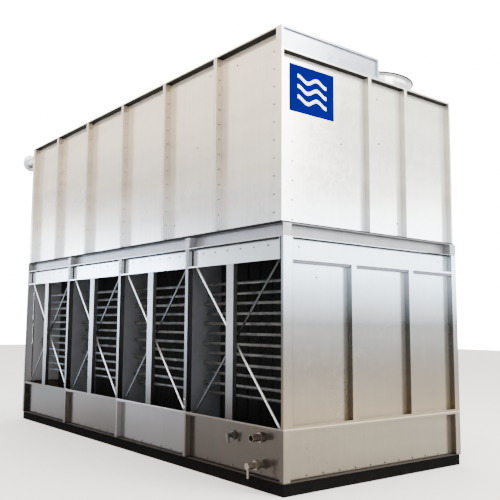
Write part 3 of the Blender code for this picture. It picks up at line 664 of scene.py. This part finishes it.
class TOWER_OT_finishes(bpy.types.Operator):
    """Give every solid of the tower its finish"""
    bl_idname = "tower.finishes"
    bl_label = "Finishes"

    def execute(self, context):
        colours = context.scene.tower_colours

        def tint(name):
            return tuple(getattr(colours, name))

        ledge = CASING_LOW.z
        roof = CASING_HIGH.z
        # These casts by height are painted reflection of the studio's walls
        front_stops = [(ledge, tint("front_low")), (ledge + 0.7, tint("front_middle")),
                       (roof, tint("front_high"))]
        end_stops = [(ledge, tint("end_low")), (ledge + 0.5, tint("end_high")), (roof, tint("end_high"))]
        lower_stops = [(BASIN_HIGH.z, tint("lower_foot")), (BAND - 0.60, tint("lower_middle")),
                       (BAND - 0.05, tint("lower_head")), (LOWER_HIGH.z, tint("lower_head"))]

        def basin_stops(colour):
            """The basin's top lips are paler, which is painted highlight, and its lowest 14 mm is darker."""
            lip = tuple(min(1.0, channel * 2.2) for channel in colour)
            darker_foot = tuple(channel * 0.3 for channel in colour)
            foot, rim = BASIN_LOW.z, BASIN_HIGH.z
            return [(foot, darker_foot), (foot + 0.014, darker_foot), (foot + 0.016, colour), (rim - 0.014, colour),
                    (rim - 0.012, lip), (rim, lip)]

        section = tint("section")
        folded = tuple(channel * 0.75 for channel in section)
        worn = tuple(channel * 0.5 for channel in section)
        foot = tint("section_foot")
        dry = BASIN_HIGH.z + 0.9
        mullion_stops = [(BASIN_HIGH.z, foot), (dry, folded), (BAND, folded)]
        column_stops = [(BASIN_HIGH.z, foot), (dry, worn), (BAND, worn)]
        fascia_stops = [(BAND, tint("fascia")), (LOWER_HIGH.z, tint("fascia"))]
        cover_stops = [(DECK_LOW.z, tint("cover")), (COVER_HIGH.z, tint("cover"))]
        deck_stops = [(height, linear("#C4C6C6")) for height in (DECK_LOW.z, COVER_HIGH.z)]
        finishes = {
            # Painted reflection by bay on the basin, and side_tone 2.5 paints light on its ribs' sides
            "basin_": silted(toned_by_bay(galvanised_sheet(
                "Galvanised basin sheet, dull", basin_stops(tint("basin_front")), "X", side_tone=2.5))),
            "basin_end_": silted(galvanised_sheet(
                "Galvanised basin end, dull", basin_stops(tint("basin_end")), "Y")),
            "upper_front_": galvanised_sheet(
                "Galvanised casing sheet, front", front_stops, "X", foot_side_tone=1.0),
            "upper_back": galvanised_sheet("Galvanised casing sheet, back", front_stops, "X"),
            "upper_end_": galvanised_sheet("Galvanised casing sheet, end", end_stops, "Y"),
            "raised_cover": galvanised_sheet(ROOF_SHEET, cover_stops),
            "fan_": galvanised_sheet("Galvanised deck sheet", deck_stops),
            "lower_end_": dull_inside(galvanised_sheet("Galvanised lower casing, end", lower_stops, "Y")),
            "lower_back": galvanised_sheet("Galvanised lower casing, back", lower_stops, "X"),
            "inlet_fascia_": galvanised_sheet("Galvanised fascia sheet", fascia_stops, "X"),
            "tube_plate_": galvanised_section("Galvanised tube plate, wet", linear("#70747B"), 0.65, 0.35),
            "inlet_column_": galvanised_sheet("Galvanised tee section", column_stops, "X", 0.5, 0.3, 0.3),
            "inlet_mullion_": galvanised_sheet(
                "Galvanised folded mullion", mullion_stops, "X", 0.5, 0.3, 0.25),
            "inlet_brace_": flat_bars("Galvanised flat bar", linear("#B9B7B3")),
            "corner_post_": dull_inside(galvanised_sheet(
                "Galvanised corner angle", lower_stops, "Y", side_tone=0.4)),
            "ledge_": galvanised_section("Galvanised ledge channel", section),
            "spray_header_stub": galvanised_section("Galvanised steel pipe", linear("#CDCFD2")),
            "overflow_stub": galvanised_section("Galvanised overflow pipe", linear("#5E574E"), 0.7, 0.3),
            "drain_stub": galvanised_section("Galvanised drain pipe", linear("#6A6259"), 0.7, 0.3),
            "make_up_stub": galvanised_section(IRON, linear("#3A3936"), 0.6, 0.5),
            "coil_row_": dull_zinc_tube("Galvanised coil tube", tint("tube")),
            "drift_eliminator": black_pvc("Extruded black PVC"),
            "skid_frame": black_enamel("Black enamel on steel"),
            "fan_rotor_": cast_aluminium(CASTING),
            "fan_motor_frame": motor_frame_finish("Galvanised rails with enamelled motors", section),
        }
        for name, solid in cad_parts.items():
            prefix = max((key for key in finishes if name.startswith(key)), key=len)
            solid.data.materials.clear()
            solid.data.materials.append(finishes[prefix])
        zinc_plated_steel(BRIGHT)
        # Darker bolt zinc: partly weathering, partly painted shadow of the heads
        zinc_plated_steel(WEATHER_AND_SHADE, "#4F4A45")
        black_rubber(RUBBER)
        seam_sealant(SEALANT)
        # The slate grey strips are painted shade
        seam_sealant(BAND_SHADE, "#5C5F6B")
        # Sections stand in the wet draught, so a thin film of dirt takes their shine
        for prefix in ("inlet_column_", "inlet_mullion_"):
            shader_of(finishes[prefix])[1].inputs["Specular IOR Level"].default_value = 0.1
        return {"FINISHED"}


class TOWER_OT_casing_bolts(bpy.types.Operator):
    """Bolt the upper casing's panel joints and its corner angles"""
    bl_idname = "tower.casing_bolts"
    bl_label = "Casing bolts"

    def execute(self, context):
        sizes = context.scene.tower_fasteners
        lip = 0.024
        inset = 0.045
        first = CASING_LOW.z + 0.0365
        under_deck = DECK_LOW.z - 0.05
        heights = [first + sizes.casing_pitch * step for step in range(12)]
        joints = []
        for z in heights:
            for seam in FRONT_SEAMS:
                joints.append(((seam + lip, CASING_LOW.y + inset, z), RIGHT))
                joints.append(((seam - lip, CASING_LOW.y + inset, z), LEFT))
            if z < under_deck:
                for seam in BACK_SEAMS:
                    joints.append(((seam + lip, -CASING_LOW.y - inset, z), RIGHT))
                    joints.append(((seam - lip, -CASING_LOW.y - inset, z), LEFT))
        add_bolts("casing_joint_bolts", joints)
        angles = []
        across = CASING_HIGH.x - 0.199
        first = CASING_LOW.z + 0.124
        for step in range(10):
            z = first + sizes.corner_pitch * step
            for side in (-1, 1):
                angles.append(((side * across, -UPPER_FIELD_Y, z), FRONT))
                if z < under_deck:
                    angles.append(((side * across, UPPER_FIELD_Y, z), REAR))
        for step in range(5):
            for side in (-1, 1):
                angles.append((Vector((side * UPPER_FIELD_X, CASING_LOW.y + 0.198,
                                       CASING_LOW.z + 0.05 + 0.19 * step)), Vector((side, 0, 0))))
        add_bolts("corner_angle_bolts", angles)
        return {"FINISHED"}


class TOWER_OT_inlet_bolts(bpy.types.Operator):
    """Bolt the fascia panels, the columns' heads and feet, and the ledge's stiffeners"""
    bl_idname = "tower.inlet_bolts"
    bl_label = "Air-inlet bolts"

    def execute(self, context):
        sizes = context.scene.tower_fasteners
        fascia = []
        for left, right in BAYS:
            middle = (left + right) / 2
            for step in range(6):
                x = middle + (step - 2.5) * sizes.row_pitch
                fascia.append(((x, -FIELD_Y, BAND + 0.15), FRONT))
        add_bolts("fascia_bolts", fascia)
        heads = []
        for x in COLUMNS:
            for z in (BAND + 0.05, BAND + 0.16, BASIN_HIGH.z + 0.05, BASIN_HIGH.z + 0.13):
                heads.append(((x, BASIN_LOW.y, z), FRONT))
        for x in (COLUMNS[0], COLUMNS[-1]):
            for side in (-0.02, 0.02):
                heads.append(((x + side, LEDGE_LOW.y + SHEET, LEDGE_HIGH.z - 0.035), FRONT))
        add_bolts("column_bolts", heads, BRIGHT, 1.2)
        return {"FINISHED"}


class TOWER_OT_basin_bolts(bpy.types.Operator):
    """Bolt the basin's foot on all sides"""
    bl_idname = "tower.basin_bolts"
    bl_label = "Basin bolts"

    def execute(self, context):
        sizes = context.scene.tower_fasteners
        foot = BASIN_LOW.z + 0.035
        places = []
        for left, right in BAYS:
            middle = (left + right) / 2
            for step in range(7):
                x = middle + (step - 3) * sizes.row_pitch
                places.append(((x, -FIELD_Y, foot), FRONT))
                places.append(((x, FIELD_Y, foot), REAR))
        ends = steps(BASIN_LOW.y + 0.12, -BASIN_LOW.y - 0.12, 0.22)
        for side in (-1, 1):
            for y in ends:
                places.append(((side * LOWER_FIELD_X, y, foot), Vector((side, 0, 0))))
        add_bolts("basin_foot_bolts", places)
        return {"FINISHED"}


class TOWER_OT_lower_bolts(bpy.types.Operator):
    """Bolt the lower casing's band and its ribs at the ends and at the back"""
    bl_idname = "tower.lower_bolts"
    bl_label = "Lower casing bolts"

    def execute(self, context):
        z = BAND + 0.13
        places = []
        for side in (-1, 1):
            for y, height in ((-1.095, z), (1.095, z), (-0.861, z - 0.277)):
                places.append(((side * LOWER_FIELD_X, y, height), Vector((side, 0, 0))))
        for left, right in BAYS:
            for x in steps(left + 0.16, right - 0.16, 0.29):
                places.append(((x, FIELD_Y, z), REAR))
        add_bolts("lower_band_bolts", places)
        return {"FINISHED"}


class TOWER_OT_plugs(bpy.types.Operator):
    """Push the grey plugs into the casing's spare holes"""
    bl_idname = "tower.plugs"
    bl_label = "Hole plugs"

    def execute(self, context):
        places = [((x, -UPPER_FIELD_Y, z), FRONT)
                  for x, z in ((2.257, 4.230), (1.787, 4.252), (1.544, 3.490), (1.117, 2.656))]
        places += [((UPPER_FIELD_X, y, z), RIGHT)
                   for y, z in ((-0.465, 3.372), (0.108, 3.965), (0.126, 3.476), (0.417, 2.637))]
        plug = bmesh.new()
        bmesh.ops.create_cone(plug, cap_ends=True, segments=16, radius1=0.010, radius2=0.008, depth=0.004,
                              matrix=Matrix.Translation((0, 0, 0.0017)))
        add_copies("hole_plugs", plug, places, RUBBER)
        return {"FINISHED"}


class TOWER_OT_sign(bpy.types.Operator):
    """Bond the enamelled sign plate to the casing's near end"""
    bl_idname = "tower.sign"
    bl_label = "Sign plate"

    def execute(self, context):
        low = Vector((UPPER_FIELD_X - SUNK, CASING_LOW.y + 0.16, CASING_LOW.z + 1.117))
        high = Vector((UPPER_FIELD_X + 0.003, CASING_LOW.y + 0.78, CASING_LOW.z + 1.596))
        bm = bmesh.new()
        add_block(bm, low, high)
        corners = [edge for edge in bm.edges if abs((edge.verts[1].co - edge.verts[0].co).x) > 0.002]
        bevel(bm, corners, 0.006, segments=2)
        sign_enamel("Blue stove enamel", tuple(context.scene.tower_colours.sign), (low + high) / 2)
        add_piece("sign_plate", bm, "Blue stove enamel")
        return {"FINISHED"}


class TOWER_OT_seams(bpy.types.Operator):
    """Seal the casing's joints, strap the seams of the roof and the deck, and lay black strips in the fascias
    for their corner joints and painted shade
    """
    bl_idname = "tower.seams"
    bl_label = "Seams"

    def execute(self, context):
        bead = 0.0035
        beads = bmesh.new()
        for low, high in CASING[:-1]:
            add_block(beads, (high.x - bead, low.y - 0.0012, low.z + 0.002),
                      (high.x + bead, low.y + 0.001, high.z - 0.002))
        add_piece("casing_joint_beads", beads, SEALANT)
        straps = bmesh.new()
        half = 0.03
        for low, high in CASING[:-1]:
            add_block(straps, (high.x - half, COVER_LOW.y + 0.01, COVER_HIGH.z - 0.0004),
                      (high.x + half, COVER_HIGH.y - 0.01, COVER_HIGH.z + 0.003))
        for left, right in zip(CYLINDERS, CYLINDERS[1:]):
            x = (left[0].x + right[1].x) / 2
            add_block(straps, (x - half, DECK_LOW.y + 0.01, DECK_HIGH.z - 0.0004),
                      (x + half, DECK_HIGH.y - 0.01, DECK_HIGH.z + 0.003))
        bevel(straps, straps.edges[:], 0.001)
        add_piece("roof_seam_straps", straps, ROOF_SHEET)
        strips = bmesh.new()
        # Black strips in each fascia's inner corner: its dark joint, with painted shade
        for low, high in FASCIAS:
            add_block(strips, (low.x + SHEET - 0.0003, high.y - SHEET - 0.009, low.z + 0.014),
                      (low.x + SHEET + 0.010, high.y - SHEET + 0.0003, high.z - SHEET))
        # Black strips along each fascia's head: painted shadow under the ledge
        for low, high in FASCIAS:
            add_block(strips, (low.x + SHEET + 0.03, low.y + 0.0015, LOWER_HIGH.z - 0.014),
                      (high.x - SHEET - 0.01, high.y - SHEET + SUNK, LOWER_HIGH.z - 0.0001))
        add_piece("fascia_corner_seals", strips, RUBBER)
        return {"FINISHED"}


class TOWER_OT_shade_strips(bpy.types.Operator):
    """Lay black strips under the casing and at the heads of its recesses, as painted shade"""
    bl_idname = "tower.gaskets"
    bl_label = "Gaskets"

    def execute(self, context):
        bm = bmesh.new()
        foot = CASING_LOW.z - SUNK
        head = CASING_HIGH.z - 0.0148
        thick = 0.009
        tall = 0.019
        # Painted shade: a black strip on the ledge round the casing's foot, which laps over the ledge's edge
        # at the front
        side = CASING_HIGH.x
        add_block(bm, (-side - 0.002, CASING_LOW.y - 0.0025, foot - 0.006),
                  (side + 0.002, CASING_LOW.y + 0.0001, foot + tall))
        for x in (-side - 0.0025, side - 0.0005):
            add_block(bm, (x, CASING_LOW.y + 0.001, foot), (x + 0.003, -CASING_LOW.y - 0.001, foot + tall))
        # Painted shade under the roof's lip in each front recess
        edges = [CASING_LOW.x + 0.0515, *FRONT_SEAMS, CASING_HIGH.x - 0.0515]
        for left, right in zip(edges, edges[1:]):
            add_block(bm, (left + 0.0245, CASING_LOW.y + 0.0015, head - thick),
                      (right - 0.0245, -UPPER_FIELD_Y + SUNK, head))
        # Painted shade under the deck's lip in the ends' recesses, and under the ledge
        deck = DECK_LOW.z - 0.0151
        ribs = (CASING_LOW.y + 0.0045, -0.083, 0.520, -CASING_LOW.y - 0.0045)
        for low, high in zip(ribs, ribs[1:]):
            for inner, outer in both_ends(UPPER_FIELD_X - SUNK, CASING_HIGH.x - 0.0015):
                add_block(bm, (inner, low + 0.024, deck - thick), (outer, high - 0.024, deck))
        for inner, outer in both_ends(LOWER_FIELD_X - SUNK, BASIN_HIGH.x - 0.0015):
            add_block(bm, (inner, -1.225, LOWER_HIGH.z - thick), (outer, 1.265, LOWER_HIGH.z - 0.0001))
        add_piece("casing_gaskets", bm, RUBBER)
        # Slate grey strips at the heads of the lower ends' fields, as painted shade under the band
        bm = bmesh.new()
        for low, high in ((-1.225, -0.432), (-0.348, 0.478), (0.562, 1.262)):
            for inner, outer in both_ends(LOWER_FIELD_X - SUNK, BASIN_HIGH.x - 0.012):
                add_block(bm, (inner, low, BAND - 0.024), (outer, high, BAND - 0.0001))
        add_piece("band_beads", bm, BAND_SHADE)
        return {"FINISHED"}


class TOWER_OT_connections(bpy.types.Operator):
    """Bolt the spray header's flange, line the overflow stub and put a locknut on the make-up stub"""
    bl_idname = "tower.connections"
    bl_label = "Water connections"

    def execute(self, context):
        middle = (HEADER_LOW + HEADER_HIGH) / 2
        inner_face = HEADER_LOW.x + 0.022
        circle = 0.118
        places = []
        for number in range(8):
            angle = (number + 0.5) * tau / 8
            y, z = middle.y + circle * cos(angle), middle.z + circle * sin(angle)
            places.append(((inner_face, y, z), RIGHT))
        add_bolts("header_flange_bolts", places, BRIGHT, 1.4)
        low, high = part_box("overflow_stub")
        centre = (low + high) / 2
        bore, rim, thick = 0.022, 0.0302, 0.012
        ring = bmesh.new()
        spin_section(ring, ((bore, 0.0), (rim, 0.0), (rim, thick), (bore, thick)), Vector((0, 0, 0)), 24)
        bmesh.ops.recalc_face_normals(ring, faces=ring.faces[:])
        ring.transform(facing((centre.x, low.y + 0.013, centre.z), FRONT))
        add_piece("overflow_liner", ring, RUBBER)
        low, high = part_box("make_up_stub")
        nut = bmesh.new()
        bmesh.ops.create_cone(nut, cap_ends=True, segments=6, radius1=0.031, radius2=0.031, depth=0.016)
        nut.transform(facing(((low.x + high.x) / 2, high.y - 0.018 - 0.0078, high.z - 0.045), FRONT))
        add_piece("make_up_locknut", nut, IRON)
        return {"FINISHED"}


class TOWER_OT_fan_guards(bpy.types.Operator):
    """Lay a wire guard in the flare of each fan cylinder"""
    bl_idname = "tower.fan_guards"
    bl_label = "Fan guards"

    def execute(self, context):
        wire = 0.003
        start = 0.06
        reach = 0.566
        rings = 7
        bars = 8
        bm = bmesh.new()
        for low, high in CYLINDERS:
            centre = Vector(((low.x + high.x) / 2, (low.y + high.y) / 2, high.z - 0.0145))
            for number in range(rings):
                radius = reach - 0.012 - number * (reach - 0.1) / rings
                section = [(radius + wire * cos(turn), wire * sin(turn))
                           for turn in (0, tau / 6, tau / 3, pi, 2 * tau / 3, 5 * tau / 6)]
                spin_section(bm, section, centre, 40)
            for number in range(bars):
                around = Matrix.Rotation((number + 0.5) * tau / bars, 4, "Z")
                lie = Matrix.Translation(((reach + start) / 2, 0, wire)) @ Matrix.Rotation(pi / 2, 4, "Y")
                bar = bmesh.ops.create_cone(bm, cap_ends=True, segments=6, radius1=wire * 1.3,
                                            radius2=wire * 1.3, depth=reach - start, matrix=lie)
                bmesh.ops.transform(bm, matrix=Matrix.Translation(centre) @ around, verts=bar["verts"])
        bmesh.ops.recalc_face_normals(bm, faces=bm.faces[:])
        add_piece("fan_guards", bm, BRIGHT)
        return {"FINISHED"}


class TOWER_OT_fan_fasteners(bpy.types.Operator):
    """Bolt the fan cylinders to the deck and cap the hubs"""
    bl_idname = "tower.fan_fasteners"
    bl_label = "Fan fasteners"

    def execute(self, context):
        circle = 0.571
        places = []
        for low, high in CYLINDERS:
            for number in range(12):
                angle = (number + 0.5) * tau / 12
                places.append((Vector(((low.x + high.x) / 2 + circle * cos(angle),
                                       (low.y + high.y) / 2 + circle * sin(angle), low.z + SHEET)), UP))
        add_bolts("fan_foot_bolts", places, BRIGHT)
        caps = bmesh.new()
        hub_top = CYLINDERS[0][0].z + 0.165
        for low, high in CYLINDERS:
            dome = bmesh.ops.create_uvsphere(caps, u_segments=20, v_segments=10, radius=0.055)["verts"]
            squash = Matrix.Diagonal((1, 1, 0.5, 1))
            bmesh.ops.transform(caps, verts=dome, matrix=Matrix.Translation(
                ((low.x + high.x) / 2, (low.y + high.y) / 2, hub_top)) @ squash)
        for face in caps.faces:
            face.smooth = True
        add_piece("hub_caps", caps, CASTING)
        return {"FINISHED"}


class TOWER_OT_stage(bpy.types.Operator):
    """Set up the floor, the soft studio light and the camera"""
    bl_idname = "tower.stage"
    bl_label = "Stage"

    def execute(self, context):
        scene = context.scene
        stage = scene.tower_stage
        bm = bmesh.new()
        bmesh.ops.create_grid(bm, x_segments=1, y_segments=1, size=stage.floor_size / 2)
        floor_finish("Coated studio floor", tuple(scene.tower_colours.floor))
        add_object("floor", bm, "Coated studio floor")

        world = bpy.data.worlds.new("Studio")
        world.use_nodes = True
        tree = world.node_tree
        background = tree.nodes["Background"]
        # The studio's walls: a bright bluish band low down, two grey bands, and pale warm above
        direction = add_node(tree, "ShaderNodeTexCoord").outputs["Generated"]
        split = axes(tree, direction)
        levels = ((0.0, (2.3, 2.35, 2.4)), (0.10, (4.6, 4.9, 5.2)), (0.16, (5.3, 5.7, 6.0)),
                  (0.32, (5.3, 5.7, 6.0)), (0.37, (1.3, 1.4, 1.6)), (0.41, (0.86, 0.85, 0.87)),
                  (0.435, (0.62, 0.63, 0.66)), (0.455, (0.62, 0.62, 0.64)),
                  (0.48, (0.95, 0.93, 0.91)), (0.54, (0.95, 0.93, 0.89)), (0.555, (0.68, 0.66, 0.64)),
                  (0.575, (0.68, 0.66, 0.64)), (0.61, (1.25, 1.17, 1.05)), (1.0, (1.2, 1.13, 1.03)))
        shares = [(level, tuple(channel / 6.0 for channel in colour)) for level, colour in levels]
        # The band stands 35 mm a metre higher behind the tower than in front of it
        lift = tone(tree, split["Y"], 0.0, 0.035, 0.0, 0.3)
        rise = maths(tree, "SUBTRACT", split["Z"], lift)
        walls = add_node(tree, "ShaderNodeValToRGB",
                         inputs={0: tone(tree, rise, 0.0, 1.0, 0.0, 0.4)}, stops=shares).outputs[0]
        # The band is dimmer in front of the tower
        front = tone(tree, split["Y"], 0.0, 1.0, -0.62, -0.42)
        low = tone(tree, split["Z"], tone(tree, front, 0.25, 1.0, 0.0, 1.0), 1.0, 0.14, 0.21)
        tree.links.new(shade(tree, walls, low), background.inputs["Color"])
        # The backdrop looks white, while the walls send back much less light
        seen = add_node(tree, "ShaderNodeLightPath").outputs["Is Camera Ray"]
        backdrop = add_node(tree, "ShaderNodeBackground", inputs={
            "Color": (*linear("#F6F8FC"), 1.0), "Strength": stage.backdrop}).outputs[0]
        blend = add_node(tree, "ShaderNodeMixShader", inputs={0: seen, 1: background.outputs[0], 2: backdrop})
        background.inputs["Strength"].default_value = stage.ambient * 6.0
        tree.links.new(blend.outputs[0], tree.nodes["World Output"].inputs["Surface"])
        scene.world = world

        lights = (
            ("key", (11.0, 3.0, 7.0), (3.0, 0.0, 2.5), 6.0, 2200, "#FFFCF6"),
            ("front", (1.0, -9.5, 7.5), (0.5, 0.0, 3.5), 5.0, 500, "#FFE8CC"),
            ("far front", (-7.5, -5.5, 1.8), (-2.5, -1.3, 2.0), 3.0, 600, "#CFE2FF"),
            ("top", (0.0, 1.0, 12.0), (0.0, 0.0, 0.0), 9.0, 1200, "#FFFFFF"),
        )
        for name, place, target, size, power, colour in lights:
            lamp = bpy.data.lights.new(name, "AREA")
            lamp.shape = "SQUARE"
            lamp.size = size
            lamp.energy = power * stage.light_scale
            lamp.color = linear(colour)
            light = bpy.data.objects.new(name, lamp)
            light.location = place
            aim = Vector(target) - Vector(place)
            light.rotation_euler = aim.to_track_quat("-Z", "Y").to_euler()
            scene.collection.objects.link(light)

        lens = bpy.data.cameras.new("camera")
        lens.sensor_fit = "HORIZONTAL"
        lens.sensor_width = 36.0
        lens.lens = stage.camera_lens
        lens.shift_x = stage.camera_shift
        lens.clip_end = 200.0
        camera = bpy.data.objects.new("camera", lens)
        camera.matrix_world = (
            Matrix.Translation(stage.camera_place)
            @ Matrix.Rotation(stage.camera_yaw, 4, "Z")
            @ Matrix.Rotation(pi / 2 + stage.camera_pitch, 4, "X")
            @ Matrix.Rotation(stage.camera_roll, 4, "Z"))
        scene.collection.objects.link(camera)
        scene.camera = camera
        return {"FINISHED"}


class TOWER_PT_dressing(bpy.types.Panel):
    """Lists the sizes, the colours and the steps that dress the tower"""
    bl_idname = "TOWER_PT_dressing"
    bl_label = "Cooling tower"
    bl_space_type = "VIEW_3D"
    bl_region_type = "UI"
    bl_category = "Cooling tower"

    def draw(self, context):
        layout = self.layout
        for group in (context.scene.tower_fasteners, context.scene.tower_colours, context.scene.tower_stage):
            box = layout.box()
            for name in group.__annotations__:
                box.prop(group, name)
        for operator in OPERATORS:
            layout.operator(operator.bl_idname)


OPERATORS = (
    TOWER_OT_finishes,
    TOWER_OT_casing_bolts,
    TOWER_OT_inlet_bolts,
    TOWER_OT_basin_bolts,
    TOWER_OT_lower_bolts,
    TOWER_OT_plugs,
    TOWER_OT_sign,
    TOWER_OT_seams,
    TOWER_OT_shade_strips,
    TOWER_OT_connections,
    TOWER_OT_fan_guards,
    TOWER_OT_fan_fasteners,
    TOWER_OT_stage,
)
CLASSES = (TowerFasteners, TowerColours, TowerStage, *OPERATORS, TOWER_PT_dressing)


def register():
    for item in CLASSES:
        bpy.utils.register_class(item)
    bpy.types.Scene.tower_fasteners = PointerProperty(type=TowerFasteners)
    bpy.types.Scene.tower_colours = PointerProperty(type=TowerColours)
    bpy.types.Scene.tower_stage = PointerProperty(type=TowerStage)


def unregister():
    del bpy.types.Scene.tower_stage
    del bpy.types.Scene.tower_colours
    del bpy.types.Scene.tower_fasteners
    for item in reversed(CLASSES):
        bpy.utils.unregister_class(item)


def main():
    """Dress the tower step by step."""
    register()
    bpy.ops.tower.finishes()
    bpy.ops.tower.casing_bolts()
    bpy.ops.tower.inlet_bolts()
    bpy.ops.tower.basin_bolts()
    bpy.ops.tower.lower_bolts()
    bpy.ops.tower.plugs()
    bpy.ops.tower.sign()
    bpy.ops.tower.seams()
    bpy.ops.tower.gaskets()
    bpy.ops.tower.connections()
    bpy.ops.tower.fan_guards()
    bpy.ops.tower.fan_fasteners()
    bpy.ops.tower.stage()


if __name__ == "__main__":
    main()
